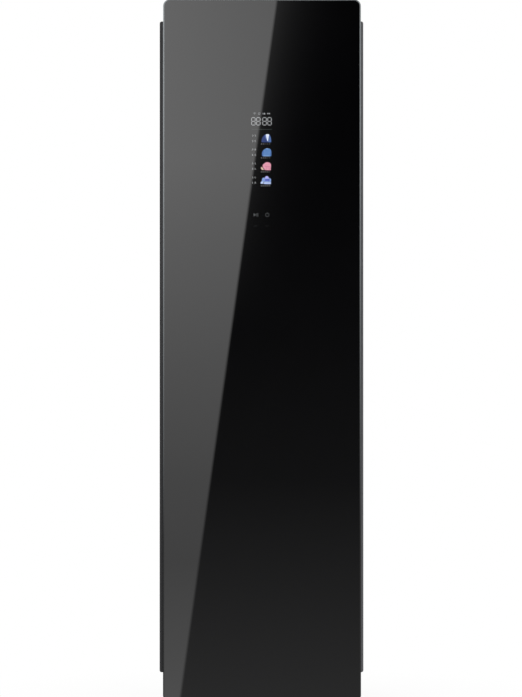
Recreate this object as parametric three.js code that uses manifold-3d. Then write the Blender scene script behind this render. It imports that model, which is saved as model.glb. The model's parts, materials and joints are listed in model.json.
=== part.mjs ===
// Clothes care steam cabinet: an upright cabinet with a mirror-glass door, a chamber with a
// moving hanger rail, and a machine space with two water tanks underneath.
// Millimetres. X runs to the right, Y to the back, Z up. The origin is on the floor, in the
// middle of the footprint, and the door faces -Y.

import * as THREE from 'three';
import { mergeVertices } from 'three/addons/utils/BufferGeometryUtils.js';
import Module from 'manifold-3d';

const wasm = await Module();
wasm.setup();

// Overall size
const height = 1850;
const width = 530;
const depth = 590;

// Fits and making
const clear = 0.3;
const overrun = 5;
const sheet = 1.2;
const flangeSheet = 1.5;

// Door glass
const glassInset = 9;
const glassHingeInset = 6.4;
const glassThick = 4;
const glassCorner = 15;
const glassBottom = 24;
const glassBevelWidth = 3;
const glassBevelDepth = 1.2;

// Door build
const doorThick = 40;
const doorLinerThick = 3;
const doorFrameInset = 3;
const profileWall = 2.7;
const profileLip = 12;
const profileLipThick = 1.7;
const capInset = 4;
const capCorner = 5;
const capWall = 2.5;
const capBody = 18;
const capNotchWidth = 23;
const panelSideGap = 18.2;
const panelRise = 6;
const panelCorner = 30;
const panelBottomGap = 8;
const panelFluteCount = 5;
const panelFluteWidth = 10;
const panelFluteDepth = 1;
const panelFluteSideMargin = 73;
const panelFluteMargin = 90;

// Door seal
const gasketGap = 12;
const gasketInset = 10.5;
const gasketBaseWidth = 22;
const gasketBaseThick = 3;
const gasketNeckWidth = 8;
const gasketHeadWidth = 14;
const gasketHeadThick = 4;
const gasketBracketGap = 2;
const gasketDrop = 50;
const gasketCorner = 14;

// Edge grips
const gripBottom = 100;
const gripDrop = 57;
const gripDepth = 26;
const gripFrontRound = 3;
const gripEndRound = 5;
const gripScoopRadius = 9;
const gripScoopInset = 4;

// Door hinges
const hingeBack = 19;
const pinRadius = 4.5;
const pinReach = 17;
const bushOuter = 7;
const bushFlange = 9;
const bushFlangeThick = 2.4;
const bushLength = 15;
const bossWall = 1.7;
const bracketThick = 4;
const bracketEndRadius = 9;
const bracketFootInside = 54;
const bracketFootDepth = 60;
const bracketLegWidth = 52;
const bracketLegHeight = 37;
const bottomBracketZ = 31;

// Display behind the glass
const displayLeft = -33;
const displayRight = 34;
const displayDrop = 270;
const displayHeight = 340;
const displayDepth = 12;
const displayCorner = 5;
const cellDepth = 6;
const digitCentreX = 0;
const digitDrop = 46;
const digitCount = 4;
const digitPitch = 13.4;
const digitWidth = 11;
const digitHeight = 25;
const courseCount = 4;
const courseDrop = 89;
const coursePitch = 36.3;
const courseIconX = 13.5;
const courseIconWidth = 24;
const courseIconHeight = 21;
const courseNoteX = -18.5;
const courseNoteWidth = 12;
const courseNoteHeight = 9;
const courseNotePitch = 14;
const keyRise = 51;
const keyRadius = 8;
const keySpread = 30;
const keyMiddleX = -0.5;

// Cabinet shell
const cabinetInset = 2;
const topInset = 4;
const footRise = 22;
const coverProud = 8;
const sideBend = 1.5;
const rearFlange = 20;
const topCoverHeight = 16;
const topCoverWall = 3;
const topCoverLip = 2.4;
const topCoverLipDrop = 6;
const topCoverRound = 5;
const railReturn = 30;
const middleRailReturn = 12;
const middleRailGap = 3;
const lowerRailTop = 93;

// Back
const windowBottom = 70;
const windowDrop = 20;
const coverGlandGap = 1.5;
const rearCoverLap = 12;
const louvreRows = 11;
const louvreColumns = 2;
const louvreHeight = 7;
const louvreLengthShare = 0.38;
const louvreSpreadShare = 0.23;
const swageCount = 2;
const swageWidth = 60;
const swageTaper = 8;
const swageDepth = 3;
const swageInset = 139;
const swageRise = 58;
const swageDrop = 90;

// Base tray and feet
const trayThick = 2;
const trayFlange = 28;
const footSideInset = 39;
const footFrontInset = 43;
const footBackInset = 42;
const footPadRadius = 18;
const footPadHeight = 14;
const footPadRound = 3;
const footStud = 5;
const footStudTop = 46;
const footBoss = 14;
const footBossHeight = 12;
const footSides = 12;

// Chamber
const insulation = 26;
const liner = 3;
const chamberFloorZ = 420;
const chamberCeilingDrop = 105;
const chamberCove = 25;
const ledgeProud = 8;
const ledgeHeight = 6;
const ledgeTop = 555;
const ledgeFrontInset = 53;
const ledgeBackInset = 87;
const beadCount = 4;
const beadRearMargin = 73.2;
const beadSideMargin = 99.45;
const beadWidth = 12;
const beadProud = 1.5;
const beadBottom = 700;
const beadDrop = 145;

// Floor openings
const filterSideGap = 33.2;
const filterRight = -20;
const filterRailGap = 2;
const filterSpan = 60;
const wellWall = 2.5;
const filterDepth = 50;
const filterRim = 5;
const filterRimThick = 2;
const filterTabHeight = 14;
const filterTabWidth = 50;
const filterTabThick = 4;
const filterBarPitch = 14;
const filterBarWidth = 3;
const aromaLeft = 40;
const aromaSideGap = 83.2;
const aromaDepth = 36;
const aromaSlots = 6;
const aromaSlotWidth = 4;
const airSlotCount = 7;
const airSlotWidth = 6;
const airSlotLength = 56;
const airSlotPitch = 11;
const airSlotSetback = 15;

// Tank bay and tanks
const baySideGap = 15.2;
const bayBackGap = 6;
const bayHeadroom = 9.2;
const bayDivider = 6;
const bayWall = 3;
const runnerHeight = 3;
const runnerWidth = 5;
const runnerInset = 30;
const tankSide = 4;
const tankSetback = 22;
const tankWall = 2.5;
const tankCorner = 18;
const tankHeadroom = 9.4;
const tankRibCount = 3;
const tankRibWidth = 8;
const tankRibDepth = 1.2;
const tankRibPitch = 50;
const lidHeight = 18;
const lidPlug = 6;
const lidWall = 2.5;
const lipHalf = 45;
const lipGap = 13;
const lipThick = 3;
const lipDrop = 40;
const lipRound = 12;

// Hanger rail, its carriage and its drive
const railRadius = 8;
const railDrop = 60;
const railEndGap = 37.2;
const railHead = 11;
const railHeadLength = 6;
const grooveRadius = 7;
const grooveWidth = 9;
const grooveTaper = 2;
const hangerCount = 3;
const hangerPitch = 110;
const railStroke = 15;
const carriageEndGap = 33.2;
const carriageDepth = 60;
const carriageThick = 8;
const carriageRidge = 4;
const armInset = 16;
const armThick = 10;
const armDepth = 26;
const armBoss = 15;
const slotMargin = 2;
const pegRadius = 6;
const pegHeight = 12;
const driveHalf = 62;
const pillarGap = 2;
const driveHeight = 44;
const driveRound = 10;
const driveGap = 4;
const pillarRadius = 6;
const pillarInset = 10;
const motorCanRadius = 20;
const motorCanHeight = 12;

// Hangers
const hangerEndGap = 44.45;
const hangerDrop = 62;
const hangerNeckDrop = 58;
const hangerRoot = 15;
const hangerTip = 10;
const hangerThick = 14;
const hangerBevel = 4;
const hangerSteps = 7;
const hangerBendShare = 1.7;
const hookWire = 3.5;
const hookStart = -55;
const hookEnd = 200;
const hookSides = 8;
const hookSteps = 11;
const hookShank = 24;

// Shelf
const shelfThick = 10;
const shelfMargin = 3;
const shelfFrontInset = 38;
const shelfBackInset = 72;
const shelfCorner = 20;
const shelfRim = 12;
const shelfSlotCount = 17;
const shelfSlotWidth = 8;
const shelfSlotRibShare = 0.34;
const shelfPan = 3;

// Chamber lamp
const lampHalf = 100;
const lampDepth = 14;
const lampHeight = 6;
const lampSetback = 38;
const lampRound = 5;

// Machine space
const machineDepth = 304;
const compressorSideGap = 112.5;
const compressorBossGap = 1;
const compressorRadius = 60;
const compressorTop = 215;
const compressorFootRadius = 36;
const compressorFoot = 8;
const compressorEar = 22;
const compressorEarThick = 4;
const exchangerLeft = 25;
const exchangerSideGap = 37.5;
const exchangerThick = 70;
const exchangerBackGap = 157;
const exchangerBlowerGap = 20;
const finCount = 19;
const finGapShare = 0.55;
const finDepthShare = 0.36;
const blowerBackGap = 112;
const blowerDrop = 115;
const blowerRadius = 80;
const blowerLeft = 22;
const blowerRight = 104;
const blowerWall = 2.5;
const blowerDuctDepth = 70;
const blowerInlet = 44;
const wheelRadius = 58;
const wheelInner = 46;
const wheelEdge = 8;
const wheelHub = 12;
const wheelWeb = 4;
const bladeCount = 16;
const bladeThick = 2.4;
const blowerMotorRadius = 32;
const blowerMotorLength = 58;
const shaftRadius = 4;
const generatorSideGap = 23.2;
const generatorWidth = 110;
const generatorDepth = 62;
const generatorDrop = 82;
const generatorHeight = 93;
const generatorNeckRadius = 9;
const generatorNeckHeight = 10;
const hoseRadius = 7;
const hoseSides = 10;
const hoseSteps = 18;
const hoseRise = 30;
const nozzleSideGap = 73.2;
const nozzleBackGap = 72;
const nozzleRadius = 13.5;
const nozzleFlange = 21;
const nozzleRise = 9;
const nozzleDrop = 11;
const nozzleBore = 5;
const pumpX = -35;
const pumpBackGap = 212;
const pumpRadius = 25;
const pumpHeight = 62;
const boxLeft = 30;
const boxSideGap = 28.2;
const boxDepth = 42;
const boxDrop = 80;
const boxHeight = 108;
const boxCorner = 8;
const boxFlangeReach = 8;
const boxFlangeThick = 4;
const glandFlangeGap = 2.5;
const glandZ = 58;
const glandRadius = 10;
const glandFlange = 13;
const glandInner = 5;
const glandInside = 12;

// Places worked out from the sizes above
const frontY = -depth / 2;
const rearY = depth / 2;
const glassLeft = glassInset - width / 2;
const glassRight = width / 2 - glassHingeInset;
const glassBackY = frontY + glassThick;
const doorBackY = frontY + doorThick;
const doorLinerY = doorBackY - doorLinerThick;
const cabinetFrontY = doorBackY + gasketGap;
const cabinetBackY = rearY - coverProud;
const cabinetHalf = width / 2 - glassInset - cabinetInset;
const cabinetTop = height - topInset;
const topCoverZ = cabinetTop - topCoverHeight;
const panelTopZ = topCoverZ - clear;
const innerHalf = cabinetHalf - sheet - clear;
const shellFrontY = cabinetFrontY + sheet + clear;
const shellBackY = cabinetBackY - clear;
const glandX = cabinetHalf - rearFlange - glandRadius - glandFlangeGap;
const windowHalf = glandX - glandFlange - rearCoverLap - coverGlandGap;
const windowTop = chamberFloorZ - windowDrop;
const swageBottom = windowTop + rearCoverLap + swageRise;
const footX = cabinetHalf - footSideInset;
const footFrontY = cabinetFrontY + footFrontInset;
const footBackY = cabinetBackY - footBackInset;

const chamberFrontY = shellFrontY + flangeSheet / 2 + clear;
const chamberBackY = shellBackY - sheet - clear - insulation - clear - liner;
const chamberHalf = innerHalf - insulation - clear - liner;
const chamberHalfDepth = (chamberBackY - cabinetFrontY) / 2;
const chamberCeilingZ = height - chamberCeilingDrop;
const padHalf = chamberHalf - clear;
const beadTop = chamberCeilingZ - beadDrop;
const filterLeft = filterSideGap - chamberHalf;
const filterFront = shellFrontY + middleRailReturn + wellWall + filterRailGap;
const filterBack = filterFront + filterSpan;
const aromaRight = chamberHalf - aromaSideGap;
const nozzleX = nozzleSideGap - chamberHalf;
const nozzleY = cabinetBackY - nozzleBackGap;
const blowerY = cabinetBackY - blowerBackGap;
const blowerZ = chamberFloorZ - blowerDrop;
const airSlotMiddleY = blowerY + airSlotSetback;
const lampY = cabinetFrontY + lampSetback;

const pinY = frontY + hingeBack;
const doorHalf = width / 2 - glassInset - doorFrameInset;
const bushInner = pinRadius + clear;
const bossRadius = bushOuter + clear + bossWall;
const pinX = doorHalf - bossRadius;
const pinGap = bushFlangeThick + 2 * clear;
const panelHalf = chamberHalf - panelSideGap;
const panelTop = chamberCeilingZ;
const gasketOuterHalf = cabinetHalf - gasketInset;
const gasketBottom = bottomBracketZ + bracketLegHeight + gasketBracketGap;
const panelBottom = gasketBottom + gasketBaseWidth + panelBottomGap;
const gasketTop = height - gasketDrop;
const gripTop = height - gripDrop;
const displayTop = height - displayDrop;
const displayBottom = displayTop - displayHeight;

const bayTop = chamberFloorZ - filterDepth - clear - wellWall - bayHeadroom;
const bayInnerHalf = chamberHalf - baySideGap;
const bayOuterBack = cabinetBackY - machineDepth;
const tankOuter = bayInnerHalf - tankSide;
const tankInner = bayDivider / 2 + tankSide;
const tankFrontY = cabinetFrontY + tankSetback;
const tankBackY = bayOuterBack - bayWall - bayBackGap;
const tankFloorZ = lowerRailTop + bayWall + runnerHeight + clear;
const tankTopZ = bayTop - bayWall - tankHeadroom - lidHeight - clear;
const lidTopZ = tankTopZ + clear + lidHeight;
const trayTopZ = footRise + trayThick;

const railY = cabinetFrontY + chamberHalfDepth;
const railZ = chamberCeilingZ - railDrop;
const railHalf = chamberHalf - railEndGap;
const armX = railHalf - armInset;
const carriageHalf = chamberHalf - carriageEndGap;
const carriageZ = chamberCeilingZ + liner + carriageRidge + clear;
const carriageTopZ = carriageZ + carriageThick;
const driveZ = carriageTopZ + driveGap;
const driveDepth = carriageDepth + 2 * (pillarGap + pillarRadius + pillarInset);
const hangerHalf = chamberHalfDepth - hangerEndGap;

// The whole cabinet, and one group for each body that moves, standing at its pivot
const cabinet = new THREE.Group();
cabinet.name = 'steam_cabinet';

function movingBody(x, y, z) {
  const group = new THREE.Group();
  group.position.set(x, y, z);
  cabinet.add(group);
  return group;
}

const fixed = movingBody(0, 0, 0);
const door = movingBody(pinX, pinY, (gasketBottom + gasketTop) / 2);

// Finishes
const finishes = {
  mirrorGlass: { color: 0x0b0c0f, roughness: 0.06, metalness: 0 },
  bodyPaint: { color: 0x35363a, roughness: 0.45, metalness: 0.2 },
  gripMetal: { color: 0x484849, roughness: 0.35, metalness: 0.8 },
  darkPlastic: { color: 0x26272a, roughness: 0.5, metalness: 0 },
  linerPlastic: { color: 0xc9cbcc, roughness: 0.45, metalness: 0 },
  foam: { color: 0xd9d2b0, roughness: 0.95, metalness: 0 },
  sealRubber: { color: 0x55565a, roughness: 0.7, metalness: 0 },
  zincSteel: { color: 0x9a9da0, roughness: 0.4, metalness: 0.9 },
  satinSteel: { color: 0xb8babd, roughness: 0.25, metalness: 1 },
  aluminium: { color: 0xb5b8bb, roughness: 0.35, metalness: 0.9 },
  tankPlastic: { color: 0x8c979f, roughness: 0.2, metalness: 0 },
  tankDark: { color: 0x5a6067, roughness: 0.25, metalness: 0 },
  hangerPlastic: { color: 0x3b3c40, roughness: 0.4, metalness: 0 },
  hoseRubber: { color: 0x8e8f8c, roughness: 0.6, metalness: 0 },
  brassMetal: { color: 0xa98f4f, roughness: 0.35, metalness: 1 },
  lampPlastic: { color: 0xeceae2, roughness: 0.3, metalness: 0 },
  castIron: { color: 0x1c1d1f, roughness: 0.6, metalness: 0.3 },
};

// Solids: making, joining and placing them
function solidOf(geometry) {
  const bare = geometry.clone();
  bare.deleteAttribute('normal');
  bare.deleteAttribute('uv');
  const merged = mergeVertices(bare);
  const corners = Array.from(merged.index.array);
  const faces = [];
  for (let i = 0; i < corners.length; i += 3) {
    const [a, b, c] = corners.slice(i, i + 3);
    if (a !== b && b !== c && c !== a) faces.push([a, b, c]);
  }
  const vertProperties = Float32Array.from(merged.attributes.position.array);
  const closed = order => new wasm.Manifold(new wasm.Mesh({
    numProp: 3, vertProperties, triVerts: Uint32Array.from(faces.flatMap(order)),
  }));
  const solid = closed(([a, b, c]) => [a, b, c]);
  return solid.volume() > 0 ? solid : closed(([a, b, c]) => [a, c, b]);
}

function geometryOf(solid) {
  const mesh = solid.getMesh();
  const geometry = new THREE.BufferGeometry();
  geometry.setAttribute('position', new THREE.BufferAttribute(mesh.vertProperties, mesh.numProp));
  geometry.setIndex(new THREE.BufferAttribute(mesh.triVerts, 1));
  geometry.computeVertexNormals();
  return geometry;
}

function place(group, name, solid, finish) {
  const mesh = new THREE.Mesh(geometryOf(solid), new THREE.MeshStandardMaterial(finish));
  mesh.name = name;
  mesh.position.copy(group.position).negate();
  group.add(mesh);
}

function block([x0, x1], [y0, y1], [z0, z1]) {
  const geometry = new THREE.BoxGeometry(x1 - x0, y1 - y0, z1 - z0);
  geometry.translate((x0 + x1) / 2, (y0 + y1) / 2, (z0 + z1) / 2);
  return solidOf(geometry);
}

const joined = solids => solids.reduce((whole, solid) => whole.add(solid));
const cutBy = (solid, cutters) => cutters.reduce((rest, cutter) => rest.subtract(cutter), solid);
const counted = count => Array.from({ length: count }, (_, i) => i);
const centred = count => counted(count).map(i => i - (count - 1) / 2);
const around = (middle, half) => [middle - half, middle + half];

// A closed outline from corners [u, v, radius]; a corner with a radius becomes an arc.
function outline(corners, steps = 4) {
  const at = i => new THREE.Vector2(...corners.at(i % corners.length).slice(0, 2));
  const points = [];
  corners.forEach(([, , radius = 0], i) => {
    const here = at(i);
    if (!radius) {
      points.push(here);
      return;
    }
    const before = at(i + corners.length - 1).sub(here).normalize();
    const after = at(i + 1).sub(here).normalize();
    const half = Math.acos(THREE.MathUtils.clamp(before.dot(after), -1, 1)) / 2;
    const centre = before.clone().add(after).setLength(radius / Math.sin(half)).add(here);
    const setback = radius / Math.tan(half);
    const first = here.clone().addScaledVector(before, setback).sub(centre).angle();
    const last = here.clone().addScaledVector(after, setback).sub(centre).angle();
    const turn = THREE.MathUtils.euclideanModulo(last - first + Math.PI, 2 * Math.PI) - Math.PI;
    for (let k = 0; k <= steps; k += 1) {
      const angle = first + turn * k / steps;
      points.push(new THREE.Vector2(Math.cos(angle), Math.sin(angle)).multiplyScalar(radius).add(centre));
    }
  });
  return new THREE.Shape(points);
}

const rectangle = ([u0, u1], [v0, v1], radius = 0) => (
  [[u0, v0, radius], [u1, v0, radius], [u1, v1, radius], [u0, v1, radius]]
);

// An outline pushed along an axis, from low to high. For x it is drawn in (Y, Z), for y in
// (X, Z) and for z in (X, Y). A bevel narrows both end faces and keeps the full outline between.
function prism(corners, axis, low, high, { steps = 3, bevel = 0, bevelDepth = bevel } = {}) {
  const shape = corners instanceof THREE.Shape ? corners : outline(corners, steps);
  const geometry = new THREE.ExtrudeGeometry(shape, {
    depth: high - low - 2 * bevelDepth,
    bevelEnabled: bevel > 0,
    bevelSize: bevel,
    bevelThickness: bevelDepth,
    bevelOffset: -bevel,
    bevelSegments: 1,
    steps: 1,
  });
  geometry.translate(0, 0, bevelDepth);
  const [ex, ey, ez] = [new THREE.Vector3(1, 0, 0), new THREE.Vector3(0, 1, 0), new THREE.Vector3(0, 0, 1)];
  const bases = { x: [ey, ez, ex], y: [ex, ez, ey.clone().negate()], z: [ex, ey, ez] };
  geometry.applyMatrix4(new THREE.Matrix4().makeBasis(...bases[axis]));
  const shift = { x: [low, 0, 0], y: [0, high, 0], z: [0, 0, low] };
  geometry.translate(...shift[axis]);
  return solidOf(geometry);
}

// A profile of [radius, height] points turned round an axis through a centre.
function turned(profile, centre = [0, 0, 0], axis = 'z', steps = 16) {
  const geometry = new THREE.LatheGeometry(profile.map(([r, h]) => new THREE.Vector2(r, h)), steps);
  geometry.rotateX(Math.PI / 2);
  if (axis === 'x') geometry.rotateY(Math.PI / 2);
  if (axis === 'y') geometry.rotateX(-Math.PI / 2);
  geometry.translate(...centre);
  return solidOf(geometry);
}

function rod(radius, low, high, centre = [0, 0, 0], axis = 'z', steps = 16) {
  return turned([[0, low], [radius, low], [radius, high], [0, high]], centre, axis, steps);
}

// A round section carried along a smooth curve through points.
function swept(points, radius, sides, steps) {
  const stations = points.map(point => new THREE.Vector3(...point));
  const curve = new THREE.CatmullRomCurve3(stations, false, 'centripetal');
  const section = new THREE.Shape(counted(sides).map(i => new THREE.Vector2(
    radius * Math.cos(2 * Math.PI * i / sides), radius * Math.sin(2 * Math.PI * i / sides),
  )));
  return solidOf(new THREE.ExtrudeGeometry(section, { extrudePath: curve, steps }));
}

// Side panels: folded steel, with a front flange that the seal meets and a flange at the back
function sidePanel(side) {
  const inner = cabinetHalf - sheet;
  const flange = cabinetHalf - rearFlange;
  const corners = [
    [chamberHalf, cabinetFrontY], [cabinetHalf, cabinetFrontY, sideBend],
    [cabinetHalf, shellBackY, sideBend], [flange, shellBackY],
    [flange, shellBackY - sheet], [inner, shellBackY - sheet, sideBend - sheet],
    [inner, cabinetFrontY + sheet, sideBend - sheet], [chamberHalf, cabinetFrontY + sheet],
  ];
  return prism(corners.map(([x, y, r]) => [side * x, y, r]), 'z', footRise, panelTopZ);
}
place(fixed, 'left_side_panel', sidePanel(-1), finishes.bodyPaint);
place(fixed, 'right_side_panel', sidePanel(1), finishes.bodyPaint);

// Front rails: channels between the side panels, with a raised face flush with their flanges
function frontRail([bottom, top], [faceBottom, faceTop], reach = railReturn) {
  const channel = block([-innerHalf, innerHalf], [shellFrontY, shellFrontY + reach], [bottom, top]);
  const hollow = block(
    [-innerHalf - overrun, innerHalf + overrun], [shellFrontY + flangeSheet, shellFrontY + reach + overrun],
    [bottom + flangeSheet, top - flangeSheet],
  );
  const face = block(
    [-padHalf, padHalf], [cabinetFrontY, shellFrontY + flangeSheet / 2], [faceBottom, faceTop],
  );
  return channel.subtract(hollow).add(face);
}
place(fixed, 'top_front_rail', frontRail(
  [chamberCeilingZ + liner + clear, panelTopZ], [chamberCeilingZ, panelTopZ],
), finishes.bodyPaint);
place(fixed, 'middle_front_rail', frontRail(
  [bayTop + middleRailGap, chamberFloorZ - liner - clear], [bayTop + clear, chamberFloorZ], middleRailReturn,
), finishes.bodyPaint);
place(fixed, 'lower_front_rail', frontRail(
  [footRise + trayFlange + clear, lowerRailTop - clear], [footRise, lowerRailTop - clear],
), finishes.bodyPaint);

// Back panel: flat steel with two pressed stiffening swages and a window for the machine space
function backPanel() {
  const outside = cabinetBackY + sheet;
  const middles = centred(swageCount).map(i => 2 * i * (cabinetHalf - swageInset));
  const swage = (x, grow, y0, y1, bevel) => prism(
    rectangle(around(x, swageWidth / 2 + grow), [swageBottom - grow, height - swageDrop + grow], swageTaper),
    'y', y0, y1, { bevel },
  );
  const raised = middles.map(x => swage(x, 0, outside - 2 * swageDepth, outside + swageDepth, swageDepth));
  const inside = block(
    [-cabinetHalf, cabinetHalf], [cabinetBackY - 2 * overrun, cabinetBackY], [footRise, panelTopZ],
  );
  const sunk = middles.map(x => swage(
    x, -swageDepth, cabinetBackY - overrun, cabinetBackY + swageDepth, 0,
  ));
  const plate = block([-cabinetHalf, cabinetHalf], [cabinetBackY, outside], [footRise, panelTopZ]);
  const window = block(
    [-windowHalf, windowHalf], [cabinetBackY - overrun, cabinetBackY + overrun], [windowBottom, windowTop],
  );
  const glandHole = rod(glandRadius + clear, -overrun, sheet + overrun, [glandX, cabinetBackY, glandZ], 'y');
  return cutBy(joined([plate, ...raised]), [inside, ...sunk, window, glandHole]);
}
place(fixed, 'back_panel', backPanel(), finishes.zincSteel);

// Rear cover: a shallow tray over the window, with rows of louvre slots
function rearCover() {
  const seat = cabinetBackY + sheet + clear;
  const half = windowHalf + rearCoverLap;
  const low = windowBottom - rearCoverLap;
  const high = windowTop + rearCoverLap;
  const tray = block([-half, half], [seat, rearY], [low, high]).subtract(block(
    around(0, half - sheet), [seat - overrun, rearY - sheet], [low + sheet, high - sheet],
  ));
  const pitch = (high - low) / (louvreRows + 1);
  const slots = centred(louvreRows).flatMap(row => centred(louvreColumns).map(column => block(
    around(column * 4 * half * louvreSpreadShare, half * louvreLengthShare),
    [rearY - sheet - overrun, rearY + overrun],
    around((low + high) / 2 + row * pitch, louvreHeight / 2),
  )));
  return cutBy(tray, slots);
}
place(fixed, 'rear_cover', rearCover(), finishes.bodyPaint);

// Top cover: a shallow lid whose hollow underside clears the hinge bracket
function topCover() {
  const shell = prism(
    rectangle([-cabinetHalf, cabinetHalf], [cabinetFrontY, cabinetBackY + sheet], topCoverRound),
    'z', topCoverZ, cabinetTop,
  );
  const hollow = block(
    around(0, cabinetHalf - topCoverWall),
    [cabinetFrontY + topCoverWall, cabinetBackY + sheet - topCoverWall],
    [topCoverZ - overrun, cabinetTop - topCoverWall],
  );
  const notch = block(
    around(pinX, bracketEndRadius + 3 * clear),
    [cabinetFrontY - overrun, cabinetFrontY + topCoverWall + overrun],
    [topCoverZ - overrun, topCoverZ + bracketThick + 2 * clear],
  );
  const lipOuter = cabinetHalf - sheet - clear;
  const lips = [-1, 1].map(side => block(
    [side * lipOuter, side * (lipOuter - topCoverLip)].sort((a, b) => a - b),
    [cabinetFrontY + railReturn + 2 * topCoverWall, cabinetBackY - rearFlange],
    [topCoverZ - topCoverLipDrop, cabinetTop - topCoverWall / 2],
  ));
  return joined([cutBy(shell, [hollow, notch]), ...lips]);
}
place(fixed, 'top_cover', topCover(), finishes.bodyPaint);

// Base tray: folded steel with a boss for each foot
const footPlaces = [-1, 1].flatMap(side => [footFrontY, footBackY].map(y => [side * footX, y]));

function baseTray() {
  const low = shellFrontY + flangeSheet + clear;
  const high = shellBackY - sheet - clear;
  const tray = block([-innerHalf, innerHalf], [low, high], [footRise, footRise + trayFlange]);
  const hollow = block(
    around(0, innerHalf - trayThick), [low + trayThick, high - trayThick],
    [trayTopZ, footRise + trayFlange + overrun],
  );
  const glandNotch = block(
    around(glandX, glandFlange + clear), [high - trayThick - overrun, high + overrun],
    [glandZ - glandFlange, footRise + trayFlange + overrun],
  );
  const bosses = footPlaces.map(([x, y]) => rod(
    footBoss, trayTopZ - trayThick / 2, trayTopZ + footBossHeight, [x, y, 0], 'z', footSides,
  ));
  const bores = footPlaces.map(([x, y]) => rod(
    footStud + clear, footRise - overrun, trayTopZ + footBossHeight + overrun, [x, y, 0], 'z', footSides,
  ));
  return cutBy(joined([cutBy(tray, [hollow, glandNotch]), ...bosses]), bores);
}
place(fixed, 'base_tray', baseTray(), finishes.zincSteel);

// Levelling feet: a moulded pad on a threaded stud
function foot() {
  return turned([
    [0, 0], [footPadRadius, 0], [footPadRadius, footPadHeight - 2 * footPadRound],
    [footPadRadius - footPadRound, footPadHeight], [footStud, footPadHeight],
    [footStud, footStudTop], [0, footStudTop],
  ], [0, 0, 0], 'z', footSides);
}
const footNames = ['left_front_foot', 'left_back_foot', 'right_front_foot', 'right_back_foot'];
footPlaces.forEach(([x, y], i) => {
  const body = movingBody(x, y, footRise);
  place(body, footNames[i], foot().translate(x, y, 0), finishes.darkPlastic);
});

// Chamber walls: moulded liners, with ledges for the shelf and upright beads
const mirrored = (corners, side) => corners.map(([u, v, r]) => [side * u, v, r]);

function sideLiner(side) {
  const bottom = chamberFloorZ - liner;
  const top = chamberCeilingZ + liner;
  const root = chamberHalf + liner / 2;
  const wall = prism(mirrored(
    rectangle([chamberHalf, chamberHalf + liner], [shellFrontY, chamberBackY - chamberCove - clear]), side,
  ), 'z', bottom, top);
  const ledge = prism(
    mirrored(rectangle(
      [chamberHalf - ledgeProud, root],
      [cabinetFrontY + ledgeFrontInset, cabinetBackY - ledgeBackInset],
    ), side),
    'z', ledgeTop - ledgeHeight, ledgeTop,
  );
  const pitch = 2 * (chamberHalfDepth - beadSideMargin) / (beadCount - 1);
  const beads = centred(beadCount).map(i => railY + i * pitch).map(middle => prism(mirrored([
    [root, middle - beadWidth / 2], [chamberHalf - beadProud, middle - beadWidth / 4],
    [chamberHalf - beadProud, middle + beadWidth / 4], [root, middle + beadWidth / 2],
  ], side), 'z', beadBottom, beadTop));
  return joined([wall, ledge, ...beads]);
}
place(fixed, 'left_liner', sideLiner(-1), finishes.linerPlastic);
place(fixed, 'right_liner', sideLiner(1), finishes.linerPlastic);

function rearLiner() {
  const outer = chamberHalf + liner;
  const front = chamberBackY - chamberCove;
  const shell = prism([
    [-outer, front], [-chamberHalf, front],
    [-chamberHalf, chamberBackY, chamberCove], [chamberHalf, chamberBackY, chamberCove],
    [chamberHalf, front], [outer, front],
    [outer, chamberBackY + liner, chamberCove + liner], [-outer, chamberBackY + liner, chamberCove + liner],
  ], 'z', chamberFloorZ - liner, chamberCeilingZ + liner);
  const pitch = 2 * (chamberHalf - beadRearMargin) / (beadCount - 1);
  const beads = centred(beadCount).map(i => i * pitch).map(middle => prism([
    [middle - beadWidth / 2, chamberBackY + liner / 2], [middle - beadWidth / 4, chamberBackY - beadProud],
    [middle + beadWidth / 4, chamberBackY - beadProud], [middle + beadWidth / 2, chamberBackY + liner / 2],
  ], 'z', beadBottom, beadTop));
  return joined([shell, ...beads]);
}
place(fixed, 'rear_liner', rearLiner(), finishes.linerPlastic);

// Insulation: one foam jacket round three sides of the chamber
function chamberInsulation() {
  const inside = chamberHalf + liner + clear;
  const back = shellBackY - sheet - clear;
  const corner = rearFlange + sheet;
  return prism([
    [-innerHalf, shellFrontY + railReturn], [-inside, shellFrontY + railReturn],
    [-inside, chamberBackY + liner + clear], [inside, chamberBackY + liner + clear],
    [inside, shellFrontY + railReturn], [innerHalf, shellFrontY + railReturn],
    [innerHalf, back - corner], [innerHalf - corner, back],
    [corner - innerHalf, back], [-innerHalf, back - corner],
  ], 'z', chamberFloorZ + clear, chamberCeilingZ);
}
place(fixed, 'chamber_insulation', chamberInsulation(), finishes.foam);

// Chamber floor and ceiling share one outline, which fits between the liners
const chamberOutline = [
  [-padHalf, chamberFrontY], [padHalf, chamberFrontY],
  [padHalf, chamberBackY - clear, chamberCove], [-padHalf, chamberBackY - clear, chamberCove],
];

function well([x0, x1], [y0, y1], drop, wall) {
  const top = chamberFloorZ;
  const outer = block([x0 - wall, x1 + wall], [y0 - wall, y1 + wall], [top - drop - wall, top - liner / 2]);
  const inner = block([x0, x1], [y0, y1], [top - drop, top + overrun]);
  return { outer, inner };
}

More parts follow.
